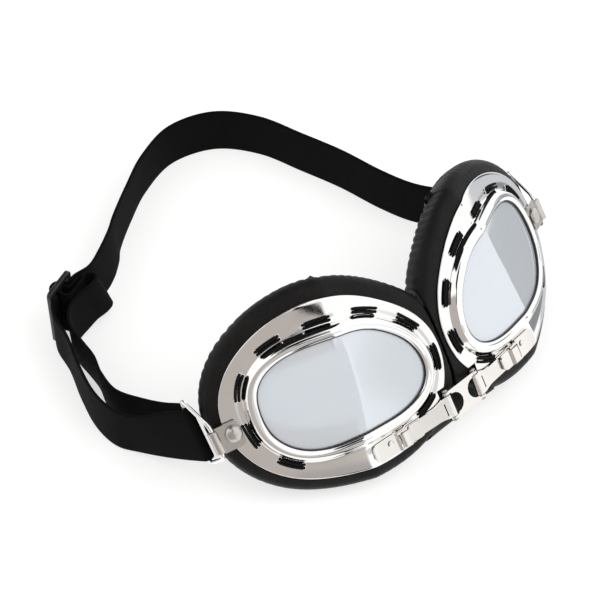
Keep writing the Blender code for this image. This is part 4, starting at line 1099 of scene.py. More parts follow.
@dataclass(frozen=True)
class Lens:
    """The silvered lens: two nearly flat panes that meet in a soft crease, and the rubber ring behind it."""

    stations: int = 200
    rings: int = 40
    innermost: float = 0.004
    grip: float = 0.0016
    front: float = -0.0015
    thickness: float = 0.0012
    round_off: float = 0.0002
    dome: float = 0.00035
    ring_width: float = 0.0023
    ring_depth: float = 0.0018
    ring_squareness: float = 0.45
    bead: float = 0.0006
    bead_shows: float = 0.0005

    def surface(self, side: Side, depth: float) -> np.ndarray:
        """Draws one face of the lens.

        Args:
            side: whose eye.
            depth: how deep the face's edge lies.

        Returns:
            Rings of places, from near its middle out to its edge.
        """
        edge = FORM.row(FORM.lens(self.stations), self.grip - self.round_off, 0.0)[:, :2]
        middle = np.array(FORM.lens_centre)
        rings = []
        for share in np.linspace(self.innermost, 1, self.rings):
            deep = np.full(len(edge), depth - self.dome * (1 - share**2))
            rings.append(np.column_stack([middle + (edge - middle) * share, deep]))
        return FORM.to_world(rings, side)

    def build(self, side: Side) -> Object:
        """Makes the lens of one eye.

        Args:
            side: whose eye.

        Returns:
            The piece.
        """
        front, back = (self.surface(side, self.front + deep) for deep in (0.0, self.thickness))
        outline = FORM.lens(self.stations)
        waist = [FORM.row(outline, self.grip, self.front + self.thickness * share) for share in (0.15, 0.85)]
        mesh = grid_mesh("lens", np.concatenate([front, FORM.to_world(waist, side), back[::-1]]), caps=True)
        obj = mesh_object(f"{side.prefix}_lens_silvered", mesh, LENS, sharp=50.0)
        return settle(obj, side.eye, "lens", f"{side.prefix}_lens")

    def build_ring(self, side: Side) -> Object:
        """Makes the rubber ring behind the lens, and the bead that shows round it.

        Args:
            side: whose eye.

        Returns:
            The piece.
        """
        lens = FORM.lens(self.stations)
        front = self.front + self.thickness + FORM.gap
        middle = (self.front - FORM.rim_height + FORM.sheet) / 2

        def squared(value: float) -> float:
            """A sine or cosine for a circle that is nearly a square, from 0 to 1."""
            return 0.5 + 0.5 * copysign(abs(value) ** self.ring_squareness, value)

        section = [
            FORM.row(lens, FORM.gap + self.ring_width * across, front + self.ring_depth * deep)
            for across, deep in ((squared(cos(a)), squared(sin(a))) for a in full_turn(16))
        ]
        bead = [
            FORM.row(lens, self.bead * (1 + cos(a)) - self.bead_shows, middle + self.bead * sin(a))
            for a in full_turn(12)
        ]
        rings = [grid_mesh("gasket", FORM.to_world(rows, side), closed=True) for rows in (section, bead)]
        obj = mesh_object(f"{side.prefix}_lens_gasket", joined("gasket", rings), RUBBER)
        return settle(obj, side.eye, "rubber", f"{side.prefix}_lens_ring")


@dataclass(frozen=True)
class Cushion:
    """The laced leather pad: a swelled tube round the eye that is gathered towards its back seam.

    The profile is the pad's outer side, as (share of its depth, share of its bulge).
    """

    stations: int = 420
    steps: int = 5
    bulge: float = 0.0065
    profile: Line = ((0, 0.12), (0.145, 0.7), (0.34, 1), (0.6, 0.92), (0.9, 0.55))
    depth: float = 0.016
    temple_depth: float = 0.022
    deepest_angle: float = radians(-50)
    hem: float = 0.0001
    leather: float = 0.0012
    felt_share: float = 0.62
    off_table: float = 0.00005
    pleat: float = 0.0031
    pleat_depth: float = 0.0014
    pleat_wander: float = 0.55
    pleat_reach: Line = (
        (0, 0.2), (0.12, 0.04), (0.26, 0.05), (0.38, 0.45), (0.5, 0.95), (0.62, 1.0), (0.75, 0.5), (1, 0.2),
    )
    cloth_stations: int = 140
    cloth_frames: int = 20
    pressure: float = 4.0
    swell_limit: float = 0.0012

    def rows(self) -> np.ndarray:
        """Draws the pad's section, from the hem under the flange, over the back, to the hem beside the lens.

        Returns:
            Its rows of flat points.
        """
        flange, lens = FORM.flange(self.stations), FORM.lens(self.stations)
        from_centre = flange - np.array(FORM.flange_centre)
        angle = np.arctan2(from_centre[:, 1], from_centre[:, 0])
        near_deepest = (0.5 + 0.5 * np.cos(angle - self.deepest_angle)) ** 2
        depth = self.depth + (self.temple_depth - self.depth) * near_deepest
        bulge, front = self.bulge, FORM.sheet + FORM.gap + self.hem
        return np.array([FORM.row(*part) for part in (
            (flange, -0.0012, front),
            (flange, bulge * self.profile[0][1], front + self.hem),
            *((flange, bulge * out, depth * deep) for deep, out in self.profile[1:]),
            (flange, -bulge * 0.4, depth),
            (lens, bulge * 0.4, depth * 0.9),
            (lens, bulge * 0.16, depth * 0.5),
            (lens, bulge * 0.5, depth * 0.11),
            (lens, STITCHES.offset - 0.0014, front),
        )])

    def gathers(self, count: int, rows: int, side: Side) -> np.ndarray:
        """Draws the gathers.

        Args:
            count: how many stations the pad has.
            rows: how many rows it has.
            side: whose eye.

        Returns:
            How far the leather is drawn in, for each row and station.
        """
        rng = np.random.default_rng(side.pick(11, 23))
        line = FORM.flange(count)
        run = run_along(np.vstack([line, line[:1]]))
        share = run[:-1] / run[-1]
        pleats = round(run[-1] / self.pleat)

        def drift(k: int) -> np.ndarray:
            """A slow wave round the pad, of a random height and phase."""
            return rng.normal() * np.sin(2 * pi * (k * share + rng.random()))

        wander = sum(drift(k) / k for k in range(2, 14))
        waves = np.abs(np.sin(pi * (pleats * share + self.pleat_wander * wander)))
        strength = 0.6 + 0.5 * sum(drift(k) / 4 for k in range(3, 17))
        pinch = (1 - waves**0.62) * np.clip(strength, 0.1, 1.3)
        rise = np.interp(np.linspace(0, 1, rows), *zip(*self.pleat_reach))
        return self.pleat_depth * rise[:, None] * pinch[None, :]

    def skin(self, points: np.ndarray) -> Mesh:
        """Makes the open skin through the pad's points.

        Args:
            points: the points, row by row.

        Returns:
            The mesh, with its faces turned outwards.
        """
        mesh = grid_mesh("pad", points)
        with editing(mesh) as shape:
            shape.faces.ensure_lookup_table()
            sample = shape.faces[len(shape.faces) // 2]
            middle = Vector(points.mean(axis=0)[sample.index % points.shape[1]])
            if sample.normal.dot(sample.calc_center_median() - middle) < 0:
                bmesh.ops.reverse_faces(shape, faces=shape.faces)
        return mesh

    def swell(self, placed: np.ndarray, side: Side) -> np.ndarray:
        """Swells the leather over the foam by a cloth simulation.

        Args:
            placed: the pad's points, row by row.
            side: whose pad it is.

        Returns: The moves of the same points, none longer than the limit.
        """
        every = self.stations // self.cloth_stations
        coarse = placed[:: self.steps, ::every]
        obj = linked("swell", self.skin(coarse))
        rows, columns = coarse.shape[:2]
        group = obj.vertex_groups.new(name="hems")
        group.add([*range(columns), *range(columns * (rows - 1), columns * rows)], 1.0, "REPLACE")
        cloth = obj.modifiers.new("cloth", "CLOTH")
        cloth.settings.vertex_group_mass = "hems"
        cloth.settings.use_pressure = True
        cloth.settings.uniform_pressure_force = self.pressure
        cloth.settings.effector_weights.gravity = 0.0
        cloth.collision_settings.use_collision = False
        for frame_number in range(1, self.cloth_frames + 1):
            bpy.context.scene.frame_set(frame_number)
        shaped = obj.evaluated_get(bpy.context.evaluated_depsgraph_get()).data
        moved = np.array([tuple(vertex.co) for vertex in shaped.vertices]).reshape(coarse.shape)
        bpy.context.scene.frame_set(1)
        bpy.data.objects.remove(obj)
        step = moved - coarse
        length = np.linalg.norm(step, axis=2, keepdims=True)
        step *= np.minimum(1.0, self.swell_limit / np.maximum(length, 1e-9))
        longest = 1000 * float(np.linalg.norm(step, axis=2).max())
        LOG.info("%s pad swells by up to %.2f mm", side.prefix, longest)
        fine = catmull_rows(step, self.steps)
        around = np.concatenate([fine, fine[:, :1]], axis=1).transpose(1, 0, 2)
        return catmull_rows(around, every)[:-1].transpose(1, 0, 2)

    def build(self, side: Side) -> Object:
        """Makes the pad of one eye, kept off the nose plane and off the table.

        Args:
            side: whose eye.

        Returns:
            The piece, which also stands for the foam.
        """
        rows = catmull_rows(self.rows(), self.steps)
        rows[..., 0] = np.maximum(rows[..., 0], FORM.nose_side(rows[..., 2]))
        placed = FORM.to_world(rows, side)
        placed[..., 2] = np.maximum(placed[..., 2], 0.0)
        placed = placed + self.swell(placed, side)
        inward = placed.mean(axis=0, keepdims=True) - placed
        inward /= np.linalg.norm(inward, axis=2)[..., None]
        drawn = placed + inward * self.gathers(rows.shape[1], rows.shape[0], side)[..., None]
        drawn[..., 2] = np.maximum(drawn[..., 2], self.off_table)
        mesh = self.skin(drawn)
        felt_from = round(rows.shape[0] * self.felt_share) * rows.shape[1]
        for face in mesh.polygons:
            face.material_index = int(face.index >= felt_from)
        obj = mesh_object(f"{side.prefix}_pad_leather", mesh, LEATHER, FELT, sharp=80.0)
        wall = obj.modifiers.new("leather", "SOLIDIFY")
        wall.thickness, wall.offset = self.leather, -1
        settle(obj, side.eye, "leather", f"{side.prefix}_cushion_cover", f"{side.prefix}_cushion_foam")
        return obj


@dataclass(frozen=True)
class Lacing:
    """The lace that ties the pad to the flange, with two strands at every stitch, and its rolled holes."""

    radius: float = 0.00056
    roll: float = 0.00013
    bunch: float = 0.05
    sway: float = 0.0001
    slackness: float = 0.35
    dive_share: float = 0.028
    proud: float = 0.00002
    points: int = 33

    def strands(self, side: Side) -> np.ndarray:
        """Draws every strand, from behind the flange, over the front and back again.

        Args:
            side: whose eye.

        Returns:
            The strands' lines of places.
        """
        rng = np.random.default_rng(side.pick(5, 9))
        line = STITCHES.line()
        out = FORM.outward(line)
        length = round(STITCHES.front_share * STITCHES.fine)
        behind = FORM.sheet + self.radius
        strands = []
        for stitch in STITCHES.shown():
            sway = rng.normal(0, self.sway)
            for place in (-1, 1):
                slack = 1.0 + self.slackness * rng.random()
                points = []
                for share in np.linspace(0, 1, self.points):
                    middle = 1 - abs(2 * share - 1) ** 2.2
                    index = round(stitch * STITCHES.fine + share * length) % len(line)
                    step = place * STITCHES.spread * (1 - self.bunch * middle) + sway * middle
                    near_end = min(share, 1 - share) * length / STITCHES.fine
                    dive = max(0.0, 1 - near_end / self.dive_share)
                    deep = -self.radius * slack * (1 - dive**2) + behind * dive**2
                    points.append((*(line[index] + out[index] * step), deep))
                strands.append(FORM.to_world(points, side))
        return np.array(strands)

    def build(self, side: Side, cords: Recipe, eyelets: Recipe) -> list[Object]:
        """Makes the lace and the rolled edges of its holes.

        Args:
            side: whose eye.
            cords: the recipe for the lace.
            eyelets: the recipe for the rolled edges.

        Returns:
            The two pieces.
        """
        strands = self.strands(side).reshape(-1, 3)
        edges = [(i, i + 1) for i in range(len(strands) - 1) if (i + 1) % self.points]
        base = line_mesh("lace", strands, edges)
        name = f"{side.prefix}_lace"
        lace = cords.run(name, base, LACE, Radius=self.radius, Sides=12, Unevenness=0.08, Seed=3)
        settle(lace, side.eye, "lace", f"{side.prefix}_lacing")
        holes = np.insert(STITCHES.holes(), 2, -self.proud, axis=1)
        places = FORM.to_world(holes, side)
        facing = FORM.to_world(holes - np.array((0, 0, 1e-5)), side) - places
        facing /= np.linalg.norm(facing, axis=1)[:, None]
        base = line_mesh("holes", places, facing=facing)
        hole = EyeFrame().lace_hole + self.roll / 2
        rims = eyelets.run(f"{side.prefix}_lace_holes", base, CHROME, Hole=hole, Roll=self.roll, Steps=20)
        return [lace, settle(rims, side.eye, "chrome")]


@dataclass(frozen=True)
class Hardware:
    """The small metal pieces of one eye: hinge leaf, keeper plate, temple bracket, rivets and wire loop."""

    rivet_place: tuple[float, float] = (0.0795, 0.0315)
    rivet_radius: float = 0.0033
    rivet_height: float = 0.0021
    rivet_tail: Line = (
        (0.0013, 0.0011), (0.0017, 0.0011), (0.0017, 0.0017), (0.001, 0.0019), (0, 0.0019),
    )
    wire: float = 0.0008
    barrel_u: float = 0.0865
    bracket_v: float = 0.031
    bracket_height: float = 0.0105
    bar_u: float = 0.092
    bar_w: float = 0.008
    bar_length: float = 0.0274
    bar_v: float = 0.0353
    corner: float = 0.0024
    corner_points: int = 12

    def copies(self, side: Side) -> list[Object]:
        """Makes the stamped pieces.

        Args:
            side: whose eye.

        Returns:
            The pieces.
        """
        return [
            refined_copy(side.eye, f"{side.prefix}_{node}", f"{side.prefix}_{name}", *looks)
            for node, name, *looks in (
                ("hinge_leaf", "leaf_stamped", STAMPED_CHROME, "chrome", 0.00012),
                ("keeper_plate", "keeper_stamped", STAMPED_CHROME, "chrome", 0.00015),
                ("keeper_rivet", "keeper_rivet_head", STAMPED_CHROME, "nickel", 0.0),
                ("temple_bracket", "bracket_satin", NICKEL, "nickel", 0.0002),
            )
        ]

    def rivet(self, side: Side) -> Object:
        """Makes the big domed rivet of the temple bracket.

        Args:
            side: whose eye.

        Returns:
            The piece.
        """
        seat = FORM.gap * 2 + FORM.sheet
        angles = np.linspace(0, pi / 2, 14)
        dome = [(self.rivet_radius * sin(a), -seat - self.rivet_height * cos(a)) for a in angles]
        foot = ((self.rivet_radius * 0.97, -seat + 0.0001), (self.rivet_tail[0][0], -seat))
        mesh = turned_mesh("rivet", [*dome, *foot, *self.rivet_tail], 48)
        mesh.transform(Matrix.Translation((*self.rivet_place, 0)))
        obj = mesh_object(f"{side.prefix}_rivet_domed", FORM.place(mesh, side), NICKEL)
        return settle(obj, side.eye, "nickel", f"{side.prefix}_temple_rivet")

    def loop(self, side: Side, cords: Recipe) -> Object:
        """Makes the bent wire loop that the strap wraps.

        Args:
            side: whose eye.
            cords: the recipe for the wire.

        Returns:
            The piece.
        """
        barrel_w = -(FORM.gap + FORM.sheet / 2)
        reach, bar = self.bracket_height / 2 + 2 * self.wire, self.bar_length / 2
        corners = [Vector(corner) for corner in (
            (self.barrel_u, self.bracket_v + reach, barrel_w),
            (self.bar_u, self.bar_v + bar, self.bar_w),
            (self.bar_u, self.bar_v - bar, self.bar_w),
            (self.barrel_u, self.bracket_v - reach, barrel_w),
        )]
        points = []
        for i, here in enumerate(corners):
            start, end = (here + (corners[k % 4] - here).normalized() * self.corner for k in (i - 1, i + 1))
            for share in np.linspace(0, 1, self.corner_points):
                points.append(start.lerp(here, share).lerp(here.lerp(end, share), share))
        line = FORM.to_world([tuple(p) for p in points], side)
        base = line_mesh("loop", line, [(i, (i + 1) % len(line)) for i in range(len(line))])
        name = f"{side.prefix}_loop_wire"
        obj = cords.run(name, base, CHROME, Radius=self.wire, Sides=20, Unevenness=0.0, Seed=1)
        return settle(obj, f"{side.prefix}_loop", "chrome", f"{side.prefix}_strap_loop")


@dataclass(frozen=True)
class Bridge:
    """The hinged link between the eyes, its pins, and the leather web over the nose behind it."""

    web_top: float = 0.0368
    web_bottom: float = -0.0105
    web_back: float = 0.0125
    web_front: float = 0.0016
    link_room: float = 0.0034
    link_ends: tuple[float, float] = (0.0108, 0.0158)
    sag: float = 0.0032
    sink: float = 0.0014
    narrowest: float = 0.0008
    near: float = 0.0012
    rows: int = 44
    columns: int = 16
    seam_step: float = 0.0021
    seam_half: float = 0.0007
    seam_skip: int = 4

    def pad_edge(self, height: float, depth: float) -> float:
        """Finds the nose side of the pad.

        Args:
            height: a height above the pin.
            depth: a depth behind the flange.

        Returns:
            How far from the middle plane the pad is there.
        """
        cushion = Cushion()
        line = FORM.flange(480)
        swell = float(np.interp(depth / cushion.temple_depth, *zip(*cushion.profile)))
        line = line + cushion.bulge * swell * FORM.outward(line)
        near = line[np.abs(line[:, 1] - height) < self.near]
        u = max(near[:, 0].min(), FORM.nose_side(depth)) if len(near) else 0.0
        return FORM.bridge_span / 2 + u * cos(FORM.hinge_angle) - depth * sin(FORM.hinge_angle)

    def web_rows(self, side: Side) -> np.ndarray:
        """Draws the web's sections from low to high.

        Args:
            side: whose half of the web.

        Returns:
            Closed lines of places, each from the middle plane into the pad and back.
        """
        heights = np.linspace(self.web_bottom, self.web_top, self.rows)
        depths = (self.web_front, self.web_back / 2, self.web_back)
        edges = np.array([[self.pad_edge(h, d) for d in depths] for h in heights])
        padded = [np.pad(column, 2, mode="edge") for column in edges.T]
        smooth = [np.convolve(column, np.ones(5) / 5, "valid") for column in padded]
        rows = []
        for height, *edge in zip(heights, *smooth):
            share = (height - self.web_bottom) / (self.web_top - self.web_bottom)
            swell = max(1 - abs(2 * share - 1) ** 6, 0.0) ** 0.5
            under = float(np.interp(height, self.link_ends, (self.link_room, self.web_front)))
            middle = (under + self.web_back) / 2
            front, back = middle + (under - middle) * swell, middle + (self.web_back - middle) * swell
            there = np.linspace(0, 1, self.columns)
            sagged = front + self.sag * swell * (1 - there**2) * min(1, 0.35 + share)
            ring = [*zip(there, sagged), *((across, back) for across in there[::-1])]
            across, deep = np.array(ring).T
            reach = np.maximum(np.interp(deep, depths, edge) + self.sink, self.narrowest)
            points = np.column_stack([side.value * reach * across, np.full(len(ring), height), deep])
            rows.append(FORM.lean_back(points))
        return np.array(rows)

    def web(self, side: Side) -> Object:
        """Makes one half of the leather web.

        Args:
            side: whose half of the web.

        Returns:
            The piece.
        """
        rows = self.web_rows(side)
        obj = mesh_object(f"nose_web_{side.prefix}", grid_mesh("web", rows, caps=True), LEATHER, sharp=75.0)
        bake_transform(obj)
        return obj

    def seam(self, stitches: Recipe) -> Object:
        """Makes the stitches down both sides of the web's middle seam.

        Args:
            stitches: the recipe for them.

        Returns:
            The piece.
        """
        line = self.web_rows(Side.RIGHT)[self.seam_skip : -self.seam_skip, 0]
        run = run_along(line)
        points = points_at(run, line, np.arange(self.seam_step / 2, run[-1], self.seam_step))
        heading = np.gradient(points, axis=0)
        heading /= np.linalg.norm(heading, axis=1)[:, None]
        facing = np.cross(heading, (1.0, 0, 0))
        facing *= np.sign(-facing[:, 1:2])
        both = np.concatenate([points + np.array((x, 0, 0)) for x in (-self.seam_half, self.seam_half)])
        base = line_mesh("seam", both, facing=np.tile(facing, (2, 1)), heading=np.tile(heading, (2, 1)))
        sizes = {"Length": 0.0015, "Thickness": 0.0003, "Unevenness": 0.08, "Seed": 4}
        return settle(stitches.run("nose_seam_stitches", base, THREAD, **sizes), "bridge", "lace")

    def hardware(self) -> list[Object]:
        """Makes the link and its two pins.

        Returns:
            The pieces.
        """
        return [
            refined_copy("bridge", "bridge_link", "link_stamped", STAMPED_CHROME, "chrome", 0.00012),
            refined_copy("bridge", "left_hinge_pin", "left_pin_turned", NICKEL, "nickel", 0.00008),
            refined_copy("bridge", "right_hinge_pin", "right_pin_turned", NICKEL, "nickel", 0.00008),
        ]


# The strap


@dataclass(frozen=True)
class LoopBar:
    """One loop's bar: its centre, its direction, the way the strap leaves it, and its outer side."""

    centre: Vector
    axis: Vector
    leave: Vector
    out: Vector


@dataclass(frozen=True)
class StrapRoute:
    """The strap's way.

    A run's places are shares of the half span (x), of the reach behind the loops (y) and of the strap's
    width (height). The fourth share of a place, if any, leans its ruling outwards.
    """

    width: float = 0.022
    thickness: float = 0.0012
    half_span: float = 0.1
    reach: float = 0.14
    start_y: float = 0.052
    sewn_tail: float = 0.018
    bar_v: float = 0.0343
    steps: int = 9
    right_run: Line = (
        (0.815, 0.1, 0.84), (0.75, 0.19, 0.65), (0.69, 0.29, 0.53), (0.65, 0.41, 0.5), (0.62, 0.55, 0.5),
        (0.57, 0.69, 0.5), (0.51, 0.84, 0.5), (0.385, 0.957, 0.5), (0.185, 1.0, 0.5), (-0.02, 0.957, 0.5),
        (-0.19, 0.886, 0.5), (-0.33, 0.818, 0.51, 0.15), (-0.4, 0.775, 0.51, 0.5), (-0.49, 0.731, 0.51, 0.9),
        (-0.58, 0.697, 0.56, 0.8),
    )
    left_run: Line = (
        (-0.885, 0.6, 0.6), (-0.905, 0.53, 0.52), (-0.96, 0.433, 0.5), (-1.005, 0.33, 0.5),
        (-1.01, 0.24, 0.52), (-0.97, 0.16, 0.62),
    )
    back_run: Line = (
        (-0.875, 0.125, 0.8, 0.0), (-0.9, 0.2, 0.6, 0.1), (-0.935, 0.286, 0.52, 0.2),
        (-0.917, 0.364, 0.51, 0.3), (-0.884, 0.424, 0.51, 0.3), (-0.87, 0.479, 0.51, 0.3),
    )
    tail_run: Line = (
        (-0.86, 0.535, 0.52, 0.25), (-0.846, 0.57, 0.54, 0.15), (-0.82, 0.595, 0.57, 0.15),
        (-0.784, 0.609, 0.59, 0.5), (-0.743, 0.618, 0.6, 0.8), (-0.695, 0.626, 0.62, 1.0),
        (-0.645, 0.628, 0.63, 1.0), (-0.606, 0.637, 0.63, 1.0), (-0.594, 0.653, 0.63, 1.0),
        (-0.61, 0.666, 0.63, 0.9), (-0.644, 0.669, 0.635, 0.5),
    )
    lean: float = 0.3

    def places(self, shares: Line) -> list[Place]:
        """Draws a run.

        Args:
            shares: the run, as in this class's fields.

        Returns:
            Its places and rulings.
        """
        made = []
        for x, y, height, *lean in shares:
            place = Vector((x * self.half_span, self.start_y + y * self.reach, height * self.width))
            ruling = Vector((-self.lean * sum(lean), 0, 1)).normalized()
            made.append((place + Vector(FOOTPRINT_SHIFT), ruling))
        return made

    def bar(self, side: Side, towards: Vector) -> LoopBar:
        """Finds a loop's bar.

        Args:
            side: whose loop.
            towards: where the strap goes from there.

        Returns:
            The bar.
        """
        hardware = Hardware()
        ends = [(hardware.bar_u, self.bar_v + share * self.width / 2, hardware.bar_w) for share in (-1, 1)]
        low, high = (Vector(place) for place in FORM.to_world(ends, side))
        centre = (low + high) / 2
        axis = (high - low).normalized()
        leave = towards - centre
        leave = (leave - axis * leave.dot(axis)).normalized()
        out = axis.cross(leave)
        return LoopBar(centre, axis, leave, out * copysign(1, out.x * side.value))

    def turn_radius(self) -> float:
        """How far from a loop's bar the middle of the strap's thickness is."""
        return Hardware().wire + FORM.gap + self.thickness / 2

    def wrap(self, bar: LoopBar) -> list[Place]:
        """The strap round a bar: from its outer side, past the front, to its inner side."""
        ways = [bar.out * cos(a) - bar.leave * sin(a) for a in np.linspace(0, pi, 19)]
        return [(bar.centre + way * self.turn_radius(), bar.axis) for way in ways]

    def smooth(self, places: Sequence[Place]) -> list[Place]:
        """Draws a smooth line through places and their rulings, kept above the table.

        Args:
            places: the places.

        Returns:
            The finer places.
        """
        fine = catmull_rows(np.array([[*place, *ruling] for place, ruling in places]), self.steps)
        fine[:, 2] = np.maximum(fine[:, 2], self.width / 2)
        return [(Vector(row[:3]), Vector(row[3:]).normalized()) for row in fine]

    def sewn_end(self, bar: LoopBar, run: Sequence[Place]) -> list[Place]:
        """Draws the strap end that is sewn back inside the right loop.

        Args:
            bar: the loop's bar.
            run: the run whose first places it lies beside.

        Returns:
            Its places.
        """
        places = [(bar.centre + (bar.leave - bar.out) * self.turn_radius(), bar.axis)]
        lengths = [(place - bar.centre).length for place, _ in run]
        for distance in np.linspace(self.sewn_tail * 0.4, self.sewn_tail, 12):
            i = next(k for k, length in enumerate(lengths) if length >= distance)
            share = (distance - lengths[i - 1]) / (lengths[i] - lengths[i - 1])
            (before, _), (after, ruling) = run[i - 1], run[i]
            normal = ruling.cross((after - before).normalized()).normalized()
            inwards = -copysign(self.thickness + FORM.gap, normal.dot(bar.out))
            places.append((before.lerp(after, share) + normal * inwards, ruling))
        return places[::-1]


@dataclass(frozen=True)
class Slider:
    """The three-bar slider that shortens the strap. What lies beside it is drawn as (along, outwards)."""

    route: StrapRoute
    length: float = 0.016
    height: float = 0.028
    thickness: float = 0.002
    end_bar: float = 0.002
    side_bar: float = 0.0025
    round_edge: float = 0.0004
    corner_points: int = 7
    bar_radius: float = 0.0011
    clear: float = 0.0008
    x_share: float = -0.78
    y_share: float = 0.675
    heading: float = radians(201.5)

    def frame(self) -> tuple[Vector, Vector, Vector]:
        """Finds where the slider lies.

        Returns:
            Its centre and its directions along the strap and outwards.
        """
        x = self.x_share * self.route.half_span
        y = self.route.start_y + self.y_share * self.route.reach
        along = Vector((cos(self.heading), sin(self.heading), 0))
        centre = Vector((x, y, self.height / 2)) + Vector(FOOTPRINT_SHIFT)
        return centre, along, Vector((along.y, -along.x, 0))

    def places(self, line: Line) -> list[Place]:
        """The places and rulings of a line that is drawn beside the slider."""
        centre, along, out = self.frame()
        return [(centre + along * s + out * n, Vector((0, 0, 1))) for s, n in line]

    def weave(self) -> Line:
        """Draws the strap's way under the end bars and over what wraps the centre bar.

        Returns:
            The way.
        """
        under = -(self.thickness / 2 + FORM.gap + self.route.thickness / 2)
        over = self.bar_radius + 2 * FORM.gap + 1.5 * self.route.thickness
        end, inner = self.length / 2 + self.clear, self.length / 2 - self.end_bar
        crest = [(-over * cos(a), over * sin(a)) for a in np.linspace(0, pi, 17)]
        half = [(end, under), (inner, under), ((inner + over) / 2, under * 0.8)]
        return [*((-s, n) for s, n in half), *crest, *half[::-1]]

    def tail(self) -> Line:
        """Draws the strap's end, from the folded slack to the centre bar, round it and back on itself.

        Returns:
            The way.
        """
        gap, end, strap = FORM.gap, self.length / 2, self.route.thickness
        wrap = self.bar_radius + gap + strap / 2
        under = self.thickness / 2 + 2 * gap + 1.5 * strap
        first, second = -(under + 3 * gap + strap), -(under + gap / 2)
        turn = [(wrap * cos(a), wrap * sin(a)) for a in np.linspace(0, pi, 15)]
        lead = [(-end, first - gap), (-wrap, first - gap), (wrap * 0.55, first), (wrap * 1.06, first * 0.7)]
        return [*lead, *turn, (-wrap * 1.05, second * 0.62), (-wrap * 1.7, second), (-end * 1.05, second)]

    def plate(self) -> Mesh:
        """Makes the flat plate with its window, which the bar divides.

        Returns:
            The plate's mesh.
        """
        curve = bpy.data.curves.new("slider", "CURVE")
        curve.dimensions, curve.fill_mode = "2D", "BOTH"
        curve.extrude = self.thickness / 2 - self.round_edge
        curve.bevel_depth, curve.bevel_resolution, curve.offset = self.round_edge, 2, -self.round_edge
        window = (self.end_bar, self.side_bar, self.end_bar / 2)
        for end_bar, side_bar, radius in ((0.0, 0.0, self.end_bar), window):
            x, y = self.length / 2 - end_bar - radius, self.height / 2 - side_bar - radius
            points = []
            for corner, (way_x, way_y) in enumerate(((1, 1), (-1, 1), (-1, -1), (1, -1))):
                for share in np.linspace(0, 1, self.corner_points):
                    angle = (corner + share) * pi / 2
                    points.append((way_x * x + radius * cos(angle), way_y * y + radius * sin(angle), 0, 1))
            spline = curve.splines.new("POLY")
            spline.points.add(len(points) - 1)
            spline.points.foreach_set("co", np.ravel(points))
            spline.use_cyclic_u = True
        mesh = evaluated_mesh(linked("slider", curve))
        with editing(mesh) as shape:
            face_outwards(shape, merge=2e-6)
        return mesh

    def build(self) -> Object:
        """Makes the slider.

        Returns:
            The piece.
        """
        reach = self.height / 2 - self.side_bar * 0.6
        bar = turned_mesh("bar", [(self.bar_radius, -reach), (self.bar_radius, reach)], 24)
        bar.transform(Matrix.Rotation(-pi / 2, 4, "X"))
        centre, along, out = self.frame()
        place = Matrix.Translation(centre) @ Matrix((along, (0, 0, 1), out)).transposed().to_4x4()
        mesh = joined("slider", [self.plate(), bar])
        mesh.transform(place)
        if place.determinant() < 0:
            mesh.flip_normals()
        return settle(mesh_object("slider_moulded", mesh, PLASTIC), "slider", "plastic", "slider")


